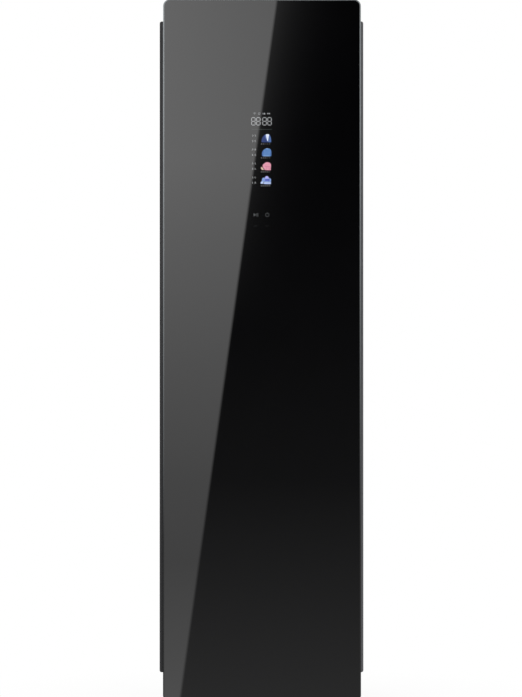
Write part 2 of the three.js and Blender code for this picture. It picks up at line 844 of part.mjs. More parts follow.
function floorPanel() {
  const plate = prism(chamberOutline, 'z', chamberFloorZ - liner, chamberFloorZ);
  const spanY = [filterFront, filterBack];
  const filterWell = well([filterLeft, filterRight], spanY, filterDepth + clear, wellWall);
  const aromaWell = well([aromaLeft, aromaRight], spanY, aromaDepth + clear, wellWall);
  const middleX = (blowerLeft + blowerRight) / 2;
  const airSlots = centred(airSlotCount).map(i => block(
    around(middleX + i * airSlotPitch, airSlotWidth / 2), around(airSlotMiddleY, airSlotLength / 2),
    [chamberFloorZ - liner - overrun, chamberFloorZ + overrun],
  ));
  const intake = block(
    around((filterLeft + filterRight) / 2, (filterRight - filterLeft) / 2 - filterRim),
    around((filterFront + filterBack) / 2, (filterBack - filterFront) / 2 - filterRim),
    [chamberFloorZ - filterDepth - wellWall - overrun, chamberFloorZ],
  );
  const nozzleHole = rod(nozzleRadius + clear, chamberFloorZ - liner - overrun, chamberFloorZ + overrun, [
    nozzleX, nozzleY, 0,
  ]);
  return cutBy(joined([plate, filterWell.outer, aromaWell.outer]), [
    filterWell.inner, aromaWell.inner, intake, nozzleHole, ...airSlots,
  ]);
}
place(fixed, 'floor_panel', floorPanel(), finishes.linerPlastic);

// Ceiling: slots for the moving arms, guide ridges for the carriage and pillars for the drive
const armSlotHalf = armThick / 2 + railStroke + slotMargin;
const pillarPlaces = [-1, 1].flatMap(sx => [-1, 1].map(sy => [
  sx * (driveHalf - pillarInset), railY + sy * (driveDepth / 2 - pillarInset),
]));

function ceilingPanel() {
  const top = chamberCeilingZ + liner;
  const plate = prism(chamberOutline, 'z', chamberCeilingZ, top);
  const ridges = [-1, 1].map(side => block(
    around(0, carriageHalf), around(railY + side * (carriageDepth / 2 - carriageRidge), carriageRidge / 2),
    [top - liner / 2, top + carriageRidge],
  ));
  const pillars = pillarPlaces.map(([x, y]) => rod(
    pillarRadius, top - liner / 2, driveZ - clear, [x, y, 0], 'z', 12,
  ));
  const slots = [-1, 1].map(side => block(
    around(side * armX, armSlotHalf), around(railY, armDepth / 2 + slotMargin),
    [chamberCeilingZ - overrun, top + overrun],
  ));
  const lampPocket = block(
    around(0, lampHalf - lampRound), around(lampY, lampDepth / 2 - lampRound / 2),
    [chamberCeilingZ - overrun, top + overrun],
  );
  return cutBy(joined([plate, ...ridges, ...pillars]), [...slots, lampPocket]);
}
place(fixed, 'ceiling_panel', ceilingPanel(), finishes.linerPlastic);

// Chamber lamp: a lens bar clipped up under the ceiling
function chamberLamp() {
  const low = chamberCeilingZ - clear - lampHeight;
  return prism(
    rectangle(around(0, lampHalf), around(lampY, lampDepth / 2), lampRound),
    'z', low, low + lampHeight, { bevel: lampHeight / 4 },
  );
}
place(fixed, 'chamber_lamp', chamberLamp(), finishes.lampPlastic);

// Tank bay: an open box with a divider and two runners under each tank
const tankMiddle = (tankInner + tankOuter) / 2;
const tankHalf = (tankOuter - tankInner) / 2;

function tankBay() {
  const outerHalf = chamberHalf + liner;
  const bodyBox = block([-outerHalf, outerHalf], [shellFrontY, bayOuterBack], [lowerRailTop, bayTop]);
  const cells = [-1, 1].map(side => block(
    [side * bayDivider / 2, side * bayInnerHalf].sort((a, b) => a - b),
    [shellFrontY - overrun, bayOuterBack - bayWall], [lowerRailTop + bayWall, bayTop - bayWall],
  ));
  const lightening = [-1, 1].map(side => block(
    [side * (bayInnerHalf + bayWall), side * (outerHalf - bayWall)].sort((a, b) => a - b),
    [shellFrontY + bayWall, bayOuterBack + overrun], [lowerRailTop + bayWall, bayTop - bayWall],
  ));
  const runners = [-1, 1].flatMap(side => [-1, 1].map(edge => block(
    around(side * tankMiddle + edge * (tankHalf - runnerInset), runnerWidth / 2),
    [tankFrontY, bayOuterBack - bayWall / 2],
    [lowerRailTop + bayWall / 2, lowerRailTop + bayWall + runnerHeight],
  )));
  return joined([cutBy(bodyBox, [...cells, ...lightening]), ...runners]);
}
place(fixed, 'tank_bay', tankBay(), finishes.linerPlastic);

// Water tanks: a ribbed open vessel, with a lid whose front lip is the pull
function tankShell(side) {
  const spanX = around(side * tankMiddle, tankHalf);
  const outer = prism(rectangle(spanX, [tankFrontY, tankBackY], tankCorner), 'z', tankFloorZ, tankTopZ);
  const inner = prism(rectangle(
    around(side * tankMiddle, tankHalf - tankWall), [tankFrontY + tankWall, tankBackY - tankWall],
    tankCorner - tankWall,
  ), 'z', tankFloorZ + tankWall, tankTopZ + overrun);
  const grooves = centred(tankRibCount).map(i => block(
    around(side * tankMiddle, tankHalf - tankCorner),
    [tankFrontY - overrun, tankFrontY + tankRibDepth],
    around((tankFloorZ + tankTopZ) / 2 + i * tankRibPitch, tankRibWidth / 2),
  ));
  return cutBy(outer, [inner, ...grooves]);
}

function tankLid(side) {
  const seat = tankTopZ + clear;
  const lipFront = tankFrontY - lipGap - lipThick;
  const spanX = around(side * tankMiddle, tankHalf);
  const cap = prism(
    rectangle(spanX, [tankFrontY, tankBackY], tankCorner), 'z', seat, lidTopZ,
    { bevel: lidWall, bevelDepth: lidWall },
  );
  const base = prism(
    rectangle(spanX, [tankFrontY, tankBackY], tankCorner), 'z', seat, seat + 2 * lidWall,
  );
  const plug = prism(rectangle(
    around(side * tankMiddle, tankHalf - tankWall - clear),
    [tankFrontY + tankWall + clear, tankBackY - tankWall - clear], tankCorner - tankWall - clear,
  ), 'z', seat - lidPlug, seat + lidWall);
  const hollow = prism(rectangle(
    around(side * tankMiddle, tankHalf - tankWall - lidWall),
    [tankFrontY + tankWall + lidWall, tankBackY - tankWall - lidWall], tankCorner - tankWall - lidWall,
  ), 'z', seat - lidPlug - overrun, lidTopZ - lidWall);
  const shelf = block(
    around(side * tankMiddle, lipHalf), [lipFront, tankFrontY + tankCorner],
    [lidTopZ - 2 * lidWall, lidTopZ - lidWall],
  );
  const lip = prism([
    [side * tankMiddle - lipHalf, lidTopZ - lidWall], [side * tankMiddle + lipHalf, lidTopZ - lidWall],
    [side * tankMiddle + lipHalf, lidTopZ - lipDrop, lipRound],
    [side * tankMiddle - lipHalf, lidTopZ - lipDrop, lipRound],
  ], 'y', lipFront, lipFront + lipThick);
  return joined([cap, base, plug]).subtract(hollow).add(shelf).add(lip);
}

[['supply', -1, finishes.tankPlastic], ['drain', 1, finishes.tankDark]].forEach(([use, side, finish]) => {
  const body = movingBody(side * tankMiddle, tankFrontY, tankFloorZ);
  place(body, `${use}_tank`, tankShell(side), finish);
  place(body, `${use}_tank_lid`, tankLid(side), finishes.darkPlastic);
});

// Hanger carriage: a plate above the ceiling, with two arms down through it to hold the rail
const rail = movingBody(0, railY, railZ);

function hangerCarriage() {
  const plate = prism(
    rectangle(around(0, carriageHalf), around(railY, carriageDepth / 2), pegRadius),
    'z', carriageZ, carriageTopZ,
  );
  const arms = [-1, 1].flatMap(side => [
    block(
      around(side * armX, armThick / 2), around(railY, armDepth / 2),
      [railZ, carriageZ + carriageThick / 2],
    ),
    rod(armBoss, -armThick / 2, armThick / 2, [side * armX, railY, railZ], 'x'),
  ]);
  const bores = [-1, 1].map(side => rod(
    railRadius + clear, -armThick, armThick, [side * armX, railY, railZ], 'x',
  ));
  const peg = rod(
    pegRadius, carriageTopZ - carriageThick / 2, carriageTopZ + pegHeight, [0, railY, 0], 'z', 12,
  );
  return cutBy(joined([plate, ...arms, peg]), bores);
}
place(rail, 'hanger_carriage', hangerCarriage(), finishes.darkPlastic);

// Hanger rail: a round steel bar with a turned groove for each hook and a head at each end
const hangerPlaces = centred(hangerCount).map(i => i * hangerPitch);

function hangerRail() {
  const grooves = hangerPlaces.flatMap(x => [
    [railRadius, x - grooveWidth / 2 - grooveTaper], [grooveRadius, x - grooveWidth / 2],
    [grooveRadius, x + grooveWidth / 2], [railRadius, x + grooveWidth / 2 + grooveTaper],
  ]);
  return turned([
    [0, -railHalf], [railHead, -railHalf], [railHead, railHeadLength - railHalf],
    [railRadius, railHeadLength - railHalf], ...grooves,
    [railRadius, railHalf - railHeadLength], [railHead, railHalf - railHeadLength],
    [railHead, railHalf], [0, railHalf],
  ], [0, railY, railZ], 'x');
}
place(rail, 'hanger_rail', hangerRail(), finishes.satinSteel);

// Hanger drive: a closed gearmotor housing, whose slot takes the peg of the carriage
function hangerDrive() {
  const top = driveZ + driveHeight;
  const housing = prism(
    rectangle(around(0, driveHalf), around(railY, driveDepth / 2), driveRound), 'z', driveZ, top,
    { bevel: driveRound / 4 },
  );
  const can = turned([
    [0, top - overrun], [motorCanRadius, top - overrun], [motorCanRadius, top + motorCanHeight],
    [motorCanRadius / 3, top + motorCanHeight], [0, top + motorCanHeight],
  ], [0, railY, 0]);
  const pegSlot = prism(rectangle(
    around(0, pegRadius + railStroke + slotMargin), around(railY, pegRadius + slotMargin), pegRadius,
  ), 'z', driveZ - overrun, carriageTopZ + pegHeight + slotMargin);
  return housing.add(can).subtract(pegSlot);
}
place(fixed, 'hanger_drive', hangerDrive(), finishes.darkPlastic);

// Hangers: moulded in one piece, with a hook that sits in its groove of the rail
const hookRadius = grooveRadius + clear + hookWire;
const hangerNeckZ = railZ - hangerNeckDrop;

function hangerShoulder(x) {
  const rise = counted(hangerSteps + 1).map(i => i / hangerSteps);
  const line = (share, edge) => {
    const thick = THREE.MathUtils.lerp(hangerRoot, hangerTip, share) / 2;
    return [share * hangerHalf, hangerNeckZ - hangerDrop * share ** hangerBendShare + edge * thick];
  };
  const right = edge => rise.map(share => line(share, edge));
  const left = edge => right(edge).slice(1).map(([u, v]) => [-u, v]).reverse();
  const upper = [...left(1), ...right(1)];
  const lower = [...left(-1), ...right(-1)].reverse();
  const corners = [...upper, ...lower].map(([u, v]) => [railY + u, v]);
  return prism(corners, 'x', x - hangerThick / 2, x + hangerThick / 2, { bevel: hangerBevel });
}

function hangerHook(x) {
  const arc = counted(hookSteps + 1).map(i => {
    const angle = THREE.MathUtils.degToRad(THREE.MathUtils.lerp(hookStart, hookEnd, i / hookSteps));
    return [x, railY + hookRadius * Math.cos(angle), railZ + hookRadius * Math.sin(angle)];
  });
  const shank = [
    [x, railY, hangerNeckZ - hangerRoot / 4], [x, railY, (hangerNeckZ + railZ - hookShank) / 2],
    [x, railY, railZ - hookShank],
  ];
  return swept([...shank, ...arc], hookWire, hookSides, 2 * hookSteps);
}

hangerPlaces.forEach((x, i) => {
  const body = movingBody(x, railY, railZ);
  place(body, `hanger_${i + 1}`, hangerShoulder(x).add(hangerHook(x)), finishes.hangerPlastic);
});

// Shelf: a slotted moulded tray that rests on the two ledges
function chamberShelf() {
  const seat = ledgeTop + clear;
  const half = chamberHalf - shelfMargin;
  const front = cabinetFrontY + shelfFrontInset;
  const back = cabinetBackY - shelfBackInset;
  const tray = prism(
    rectangle(around(0, half), [front, back], shelfCorner), 'z', seat, seat + shelfThick,
  );
  const pan = prism(rectangle(
    around(0, half - shelfRim), [front + shelfRim, back - shelfRim], shelfCorner - shelfRim / 2,
  ), 'z', seat + shelfThick - shelfPan, seat + shelfThick + overrun);
  const span = 2 * (half - shelfRim);
  const length = back - front - 2 * shelfRim;
  const middle = (front + back) / 2;
  const slots = centred(shelfSlotCount).flatMap(i => centred(2).map(row => block(
    around(i * span / (shelfSlotCount + 1), shelfSlotWidth / 2),
    around(middle + row * length / 2, length * (1 - shelfSlotRibShare) / 4),
    [seat - overrun, seat + shelfThick + overrun],
  )));
  return cutBy(tray, [pan, ...slots]);
}
place(movingBody(0, 0, ledgeTop), 'shelf', chamberShelf(), finishes.linerPlastic);

// Lint filter: a barred basket with a rim that rests on the floor and a pull tab
const filterMiddleX = (filterLeft + filterRight) / 2;
const aromaMiddleX = (aromaLeft + aromaRight) / 2;

function basketRim([x0, x1], [y0, y1]) {
  const seat = chamberFloorZ + clear;
  return prism(
    rectangle([x0 - filterRim, x1 + filterRim], [y0 - filterRim, y1 + filterRim], filterRim),
    'z', seat, seat + filterRimThick,
  );
}

function lintFilter() {
  const spanX = [filterLeft + clear, filterRight - clear];
  const spanY = [filterFront + clear, filterBack - clear];
  const floor = chamberFloorZ - filterDepth;
  const top = chamberFloorZ + filterRimThick;
  const basket = block(spanX, spanY, [floor, top - filterRimThick / 2]).add(basketRim(spanX, spanY));
  const inside = block(
    [spanX[0] + wellWall, spanX[1] - wellWall], [spanY[0] + wellWall, spanY[1] - wellWall],
    [floor + wellWall, top + overrun],
  );
  const barCount = Math.floor((spanX[1] - spanX[0] - 2 * filterRim) / filterBarPitch);
  const windows = centred(barCount).map(i => block(
    around(filterMiddleX + i * filterBarPitch, (filterBarPitch - filterBarWidth) / 2),
    [spanY[0] + filterRim, spanY[1] - filterRim], [floor - overrun, floor + wellWall + overrun],
  ));
  const tab = prism(
    rectangle(
      around(filterMiddleX, filterTabWidth / 2),
      [chamberFloorZ - filterTabHeight, top + filterTabHeight], filterTabThick,
    ), 'y', (filterFront + filterBack - filterTabThick) / 2, (filterFront + filterBack + filterTabThick) / 2,
  );
  const bridge = block(
    around(filterMiddleX, filterTabThick),
    [spanY[0] + wellWall / 2, spanY[1] - wellWall / 2], [top - 2 * filterRimThick, top],
  );
  return cutBy(basket, [inside, ...windows]).add(bridge).add(tab);
}
const filterBody = movingBody(filterMiddleX, filterFront, chamberFloorZ);
place(filterBody, 'lint_filter', lintFilter(), finishes.tankDark);

// Aroma cartridge: a vented box for a scented sheet, seated like the filter
function aromaCartridge() {
  const spanX = [aromaLeft + clear, aromaRight - clear];
  const spanY = [filterFront + clear, filterBack - clear];
  const top = chamberFloorZ + clear + filterRimThick;
  const body = block(spanX, spanY, [chamberFloorZ - aromaDepth, top - filterRimThick / 2]);
  const box = body.add(basketRim(spanX, spanY));
  const pitch = (spanX[1] - spanX[0]) / (aromaSlots + 1);
  const slots = centred(aromaSlots).map(i => block(
    around(aromaMiddleX + i * pitch, aromaSlotWidth / 2),
    [spanY[0] + filterRim, spanY[1] - filterRim], [top - aromaDepth / 2, top + overrun],
  ));
  const tab = prism(
    rectangle(around(aromaMiddleX, pitch / 3), [top - filterRimThick, top + filterTabHeight]),
    'y', filterFront, filterFront + filterTabThick,
  );
  return cutBy(box, slots).add(tab);
}
const aromaBody = movingBody(aromaMiddleX, filterFront, chamberFloorZ);
place(aromaBody, 'aroma_cartridge', aromaCartridge(), finishes.tankDark);

// Compressor: a drawn steel shell with a terminal cover on a foot plate
function compressor() {
  const seat = trayTopZ + clear;
  const middleX = compressorSideGap - innerHalf;
  const middleY = footBackY - footBoss - compressorBossGap - compressorRadius;
  const shell = turned([
    [0, seat], [compressorFootRadius, seat], [compressorFootRadius, seat + compressorFoot],
    [compressorRadius, seat + 2 * compressorFoot], [compressorRadius, compressorTop - 3 * compressorFoot],
    [compressorRadius - compressorFoot, compressorTop - compressorFoot],
    [compressorFootRadius, compressorTop], [0, compressorTop],
  ], [middleX, middleY, 0]);
  const plate = prism(rectangle(
    around(middleX, compressorRadius + compressorEar), around(middleY, compressorRadius), compressorEar,
  ), 'z', seat + compressorFoot / 2, seat + compressorFoot / 2 + compressorEarThick);
  const cover = block(
    around(middleX, compressorFootRadius / 2),
    [middleY - compressorRadius - compressorFoot, middleY],
    around((seat + compressorTop) / 2, compressorFootRadius / 2),
  );
  return joined([shell, plate, cover]);
}
place(fixed, 'compressor', compressor(), finishes.castIron);

// Heat exchanger: a finned block, cut as a comb from both faces
function heatExchanger() {
  const right = innerHalf - exchangerSideGap;
  const back = cabinetBackY - exchangerBackGap;
  const front = back - exchangerThick;
  const pitch = (right - exchangerLeft) / finCount;
  const finDepth = exchangerThick * finDepthShare;
  const gap = pitch * finGapShare;
  const gapPlaces = counted(finCount - 1).map(i => exchangerLeft + (i + 1) * pitch);
  const comb = (edge, inward) => gapPlaces.flatMap(x => [
    [x - gap / 2, edge], [x - gap / 2, edge + inward], [x + gap / 2, edge + inward], [x + gap / 2, edge],
  ]);
  return prism([
    [exchangerLeft, front], ...comb(front, finDepth), [right, front],
    [right, back], ...comb(back, -finDepth).reverse(), [exchangerLeft, back],
  ], 'z', trayTopZ + clear, blowerZ - blowerRadius - exchangerBlowerGap);
}
place(fixed, 'heat_exchanger', heatExchanger(), finishes.aluminium);

// Blower: a scroll housing with a duct up to the floor slots, a bladed wheel and its motor
function blowerHousing() {
  const top = chamberFloorZ - liner - clear;
  const scroll = (shrink, x0, x1, reach) => joined([
    rod(blowerRadius - shrink, x0, x1, [0, blowerY, blowerZ], 'x', 32),
    block([x0, x1], around(airSlotMiddleY, blowerDuctDepth / 2 - shrink), [blowerZ, top + reach]),
  ]);
  const inlet = rod(blowerInlet, blowerRight - overrun, blowerRight + overrun, [0, blowerY, blowerZ], 'x');
  const shaftHole = rod(
    shaftRadius + clear, blowerLeft - overrun, blowerRight - overrun, [0, blowerY, blowerZ], 'x', 12,
  );
  const inside = scroll(blowerWall, blowerLeft + blowerWall, blowerRight - blowerWall, overrun);
  return cutBy(scroll(0, blowerLeft, blowerRight, 0), [inside, inlet, shaftHole]);
}
place(fixed, 'blower_housing', blowerHousing(), finishes.darkPlastic);

function blowerMotor() {
  const end = blowerLeft - clear;
  const chamfer = blowerMotorRadius / 8;
  return turned([
    [0, end - blowerMotorLength], [blowerMotorRadius - chamfer, end - blowerMotorLength],
    [blowerMotorRadius, end - blowerMotorLength + chamfer], [blowerMotorRadius, end],
    [shaftRadius, end], [shaftRadius, blowerRight - 2 * wheelEdge], [0, blowerRight - 2 * wheelEdge],
  ], [0, blowerY, blowerZ], 'x');
}
place(fixed, 'blower_motor', blowerMotor(), finishes.satinSteel);

function blowerWheel() {
  const left = blowerLeft + wheelEdge;
  const right = blowerRight - wheelEdge;
  const centre = [0, blowerY, blowerZ];
  const disc = rod(wheelRadius, left, left + wheelWeb, centre, 'x', bladeCount);
  const hub = rod(wheelHub, left, (left + right) / 2, centre, 'x', 12);
  const ring = rod(wheelRadius, right - wheelWeb, right, centre, 'x', bladeCount)
    .subtract(rod(wheelInner, right - wheelWeb - overrun, right + overrun, centre, 'x', bladeCount));
  const bladeLean = 360 / bladeCount;
  const blades = counted(bladeCount).map(i => block(
    [left + wheelWeb / 2, right - wheelWeb / 2], [wheelInner + bladeThick / 2, wheelRadius - bladeThick],
    around(0, bladeThick / 2),
  ).translate(0, -wheelInner, 0).rotate(bladeLean, 0, 0).translate(0, wheelInner, 0)
    .rotate(i * 360 / bladeCount, 0, 0).translate(...centre));
  const bore = rod(shaftRadius + clear, left - overrun, right, centre, 'x', 12);
  return joined([disc, hub, ring, ...blades]).subtract(bore);
}
place(movingBody(blowerLeft, blowerY, blowerZ), 'blower_wheel', blowerWheel(), finishes.darkPlastic);

// Steam generator: an insulated boiler box on the back of the tank bay, with a hose neck
const generatorX = generatorSideGap - chamberHalf + generatorWidth / 2;
const generatorY = bayOuterBack + clear + generatorDepth / 2;
const generatorTop = chamberFloorZ - generatorDrop;
const generatorBottom = generatorTop - generatorHeight;

function steamGenerator() {
  const boiler = prism(
    rectangle(
      around(generatorX, generatorWidth / 2), around(generatorY, generatorDepth / 2), generatorNeckRadius,
    ), 'z', generatorBottom, generatorTop,
  );
  const neck = rod(
    generatorNeckRadius, generatorTop - generatorNeckHeight, generatorTop + generatorNeckHeight,
    [generatorX, generatorY, 0],
  );
  const strapHalf = generatorNeckRadius / 2;
  const straps = [-1, 1].map(side => block(
    around(generatorX + side * generatorDepth / 2, strapHalf),
    [generatorY - generatorDepth / 2, generatorY + generatorDepth / 2 + sheet],
    [generatorBottom - sheet, generatorTop + sheet],
  ));
  return joined([boiler, neck, ...straps]);
}
place(fixed, 'steam_generator', steamGenerator(), finishes.zincSteel);

// Steam nozzle through the chamber floor, and the hose that feeds it
const nozzleFootZ = chamberFloorZ - liner - nozzleDrop;

place(fixed, 'steam_nozzle', turned([
  [nozzleBore, nozzleFootZ], [nozzleRadius, nozzleFootZ], [nozzleRadius, chamberFloorZ + clear],
  [nozzleFlange, chamberFloorZ + clear], [nozzleFlange, chamberFloorZ + nozzleRise / 3],
  [nozzleRadius, chamberFloorZ + nozzleRise], [nozzleBore, chamberFloorZ + nozzleRise],
  [nozzleBore, nozzleFootZ],
], [nozzleX, nozzleY, 0]), finishes.linerPlastic);

function steamHose() {
  const start = generatorTop + generatorNeckHeight + clear;
  const hoseTopZ = generatorTop + generatorNeckHeight + hoseRise;
  const end = nozzleFootZ - clear;
  const bend = hoseTopZ - start;
  return swept([
    [generatorX, generatorY, start], [generatorX, generatorY, (start + hoseTopZ) / 2],
    [generatorX, generatorY + bend, hoseTopZ], [nozzleX, (generatorY + nozzleY) / 2, hoseTopZ],
    [nozzleX, nozzleY - bend, hoseTopZ], [nozzleX, nozzleY, (end + hoseTopZ) / 2], [nozzleX, nozzleY, end],
  ], hoseRadius, hoseSides, hoseSteps);
}
place(fixed, 'steam_hose', steamHose(), finishes.hoseRubber);

// Water pump on the tray
function waterPump() {
  const seat = trayTopZ + clear;
  const pumpY = cabinetBackY - pumpBackGap;
  const centre = [pumpX, pumpY, 0];
  const middle = seat + pumpHeight / 2;
  return joined([
    turned([
      [0, seat], [pumpRadius, seat], [pumpRadius, seat + pumpHeight - pumpRadius / 3],
      [pumpRadius * 2 / 3, seat + pumpHeight], [0, seat + pumpHeight],
    ], centre),
    rod(pumpRadius / 4, 0, 2 * pumpRadius, [pumpX, pumpY, middle], 'y', 12),
    rod(pumpRadius / 4, seat + pumpHeight / 2, seat + pumpHeight + pumpRadius / 2, centre, 'z', 12),
  ]);
}
place(fixed, 'water_pump', waterPump(), finishes.darkPlastic);

// Control box on the back of the tank bay
function controlBox() {
  const near = bayOuterBack + clear;
  const right = chamberHalf - boxSideGap;
  const top = chamberFloorZ - boxDrop;
  const box = prism(
    rectangle([boxLeft, right], [top - boxHeight, top], boxCorner), 'y', near, near + boxDepth,
    { bevel: boxCorner / 2 },
  );
  const flange = block(
    [boxLeft - boxFlangeReach, right + boxFlangeReach], [near, near + boxFlangeThick],
    around(top - boxHeight / 2, boxHeight / 4),
  );
  return box.add(flange);
}
place(fixed, 'control_box', controlBox(), finishes.linerPlastic);

// Cable gland in the back panel
place(fixed, 'cable_gland', turned([
  [glandInner, -glandInside], [glandRadius, -glandInside], [glandRadius, sheet + clear],
  [glandFlange, sheet + clear], [glandFlange, coverProud], [glandInner, coverProud],
  [glandInner, -glandInside],
], [glandX, cabinetBackY, glandZ], 'y'), finishes.darkPlastic);

// Hinge brackets: steel plates on the cabinet, each with a pin in the door's hinge line
const pinLeft = pinX - bracketEndRadius;
const pinRight = pinX + bracketEndRadius;
const pinFront = pinY - bracketEndRadius;

function topHingeBracket() {
  const neck = cabinetFrontY + topCoverWall;
  const footLeft = pinX - bracketFootInside;
  const footRight = innerHalf - topCoverLip - clear;
  const plate = prism([
    [pinLeft, pinFront, bracketEndRadius], [pinRight, pinFront, bracketEndRadius],
    [pinRight, neck], [footRight, neck], [footRight, neck + bracketFootDepth],
    [footLeft, neck + bracketFootDepth], [footLeft, neck], [pinLeft, neck],
  ], 'z', topCoverZ, topCoverZ + bracketThick);
  const pin = rod(pinRadius, topCoverZ - pinReach, topCoverZ + bracketThick / 2, [pinX, pinY, 0]);
  return plate.add(pin);
}
place(fixed, 'top_hinge_bracket', topHingeBracket(), finishes.zincSteel);

function bottomHingeBracket() {
  const back = cabinetFrontY - clear;
  const legLeft = pinRight - bracketLegWidth;
  const top = bottomBracketZ + bracketThick;
  const plate = prism([
    [pinLeft, pinFront, bracketEndRadius], [pinRight, pinFront, bracketEndRadius],
    [pinRight, back], [legLeft, back], [legLeft, back - bracketThick], [pinLeft, back - bracketThick],
  ], 'z', bottomBracketZ, top);
  const leg = block(
    [legLeft, pinRight], [back - bracketThick, back], [bottomBracketZ, bottomBracketZ + bracketLegHeight],
  );
  const pin = rod(pinRadius, top - bracketThick / 2, top + pinReach, [pinX, pinY, 0]);
  return joined([plate, leg, pin]);
}
place(fixed, 'bottom_hinge_bracket', bottomHingeBracket(), finishes.zincSteel);

// Door glass: one bevelled sheet that overhangs the door frame on every side, and reaches
// farther out at the hinges than beside the strip that the fingers pull
place(door, 'door_glass', prism(
  rectangle([glassLeft, glassRight], [glassBottom, height], glassCorner), 'y', frontY, glassBackY,
  { bevel: glassBevelWidth, bevelDepth: glassBevelDepth, steps: 6 },
), finishes.mirrorGlass);

// Door caps: moulded ends with a notch for the bracket and a boss for the bush.
// Each works outward from the face that the bracket's plate passes.
const frameFrontY = glassBackY + clear;
const topCap = { out: 1, face: topCoverZ - pinGap, end: height - capInset };
const bottomCap = { out: -1, face: bottomBracketZ + bracketThick + pinGap, end: glassBottom + capInset };

function doorCap({ out, face, end }) {
  const span = (a, b) => [a, b].sort((p, q) => p - q);
  const notchX = pinX - capNotchWidth / 2;
  const root = face - out * capBody;
  const body = block([-doorHalf, doorHalf], [frameFrontY, doorLinerY - clear], span(root, face));
  const crown = prism([
    [-doorHalf, face - out], [notchX, face - out], [notchX, end], [-doorHalf, end, capCorner],
  ], 'y', frameFrontY, doorBackY);
  const hollowY = [frameFrontY + capWall, doorLinerY - clear - capWall];
  const hollow = block(
    around(0, doorHalf - capWall), hollowY, span(root - out * overrun, face - out * capWall),
  );
  const crownHollow = block(
    [capWall - doorHalf, notchX - capWall], hollowY, span(root - out * overrun, end - out * capWall),
  );
  const [bossLow, bossHigh] = span(root, face - out * capWall / 2);
  const boss = rod(bossRadius, bossLow, bossHigh, [pinX, pinY, 0]);
  const [boreLow, boreHigh] = span(root - out * overrun, face + out * overrun);
  const bore = rod(bushOuter + clear, boreLow, boreHigh, [pinX, pinY, 0]);
  return cutBy(body.add(crown), [hollow, crownHollow]).add(boss).subtract(bore);
}
place(door, 'door_top_cap', doorCap(topCap), finishes.darkPlastic);
place(door, 'door_bottom_cap', doorCap(bottomCap), finishes.darkPlastic);

// Hinge bushes: flanged sleeves in the caps, turning on the pins
function hingeBush({ out, face }) {
  const at = h => face + out * h;
  return turned([
    [bushInner, at(-bushLength)], [bushOuter, at(-bushLength)], [bushOuter, at(clear)],
    [bushFlange, at(clear)], [bushFlange, at(clear + bushFlangeThick)],
    [bushInner, at(clear + bushFlangeThick)], [bushInner, at(-bushLength)],
  ], [pinX, pinY, 0]);
}
place(door, 'top_hinge_bush', hingeBush(topCap), finishes.linerPlastic);
place(door, 'bottom_hinge_bush', hingeBush(bottomCap), finishes.linerPlastic);

// Door side profiles between the caps: a web and a lip behind the glass
const frameBottom = bottomCap.face + capBody + clear;
const frameTop = topCap.face - capBody - clear;
const coreHalf = doorHalf - profileWall - clear;

function doorProfile(side) {
  const inside = doorHalf - profileWall;
  return prism(mirrored([
    [doorHalf, frameFrontY], [doorHalf, doorBackY], [inside, doorBackY],
    [inside, frameFrontY + profileLipThick], [inside - profileLip, frameFrontY + profileLipThick],
    [inside - profileLip, frameFrontY],
  ], side), 'z', frameBottom, frameTop);
}
place(door, 'door_left_profile', doorProfile(-1), finishes.bodyPaint);
place(door, 'door_right_profile', doorProfile(1), finishes.bodyPaint);

// Door core: a foam panel with a pocket for the display
const coreFrontY = frameFrontY + profileLipThick + clear;
const displaySpanX = [displayLeft, displayRight];
const displaySpanZ = [displayBottom, displayTop];

function doorCore() {
  const pocket = block(
    [displayLeft - clear, displayRight + clear], [coreFrontY - overrun, frameFrontY + displayDepth + clear],
    [displayBottom - clear, displayTop + clear],
  );
  const panel = block([-coreHalf, coreHalf], [coreFrontY, doorLinerY - clear], [frameBottom, frameTop]);
  return panel.subtract(pocket);
}
place(door, 'door_core', doorCore(), finishes.foam);

// Display module: a board housing behind the glass, with a light cell for each digit, note,
// icon and touch key
function displayModule() {
  const housing = prism(
    rectangle(displaySpanX, displaySpanZ, displayCorner), 'y', frameFrontY, frameFrontY + displayDepth,
  );
  const cellSpanY = [frameFrontY - overrun, frameFrontY + cellDepth];
  const cell = (x, z, w, h) => block(around(x, w / 2), cellSpanY, around(z, h / 2));
  const digits = centred(digitCount).map(i => cell(
    digitCentreX + i * digitPitch, displayTop - digitDrop, digitWidth, digitHeight,
  ));
  const courses = counted(courseCount).map(i => displayTop - courseDrop - i * coursePitch).flatMap(z => [
    cell(courseIconX, z, courseIconWidth, courseIconHeight),
    cell(courseNoteX, z + courseNotePitch / 2, courseNoteWidth, courseNoteHeight),
    cell(courseNoteX, z - courseNotePitch / 2, courseNoteWidth, courseNoteHeight),
  ]);
  const keys = [-1, 1].map(side => rod(
    keyRadius, frameFrontY - overrun, frameFrontY + cellDepth,
    [keyMiddleX + side * keySpread / 2, 0, displayBottom + keyRise], 'y', 16,
  ));
  return cutBy(housing, [...digits, ...courses, ...keys]);
}
place(door, 'display_module', displayModule(), finishes.darkPlastic);

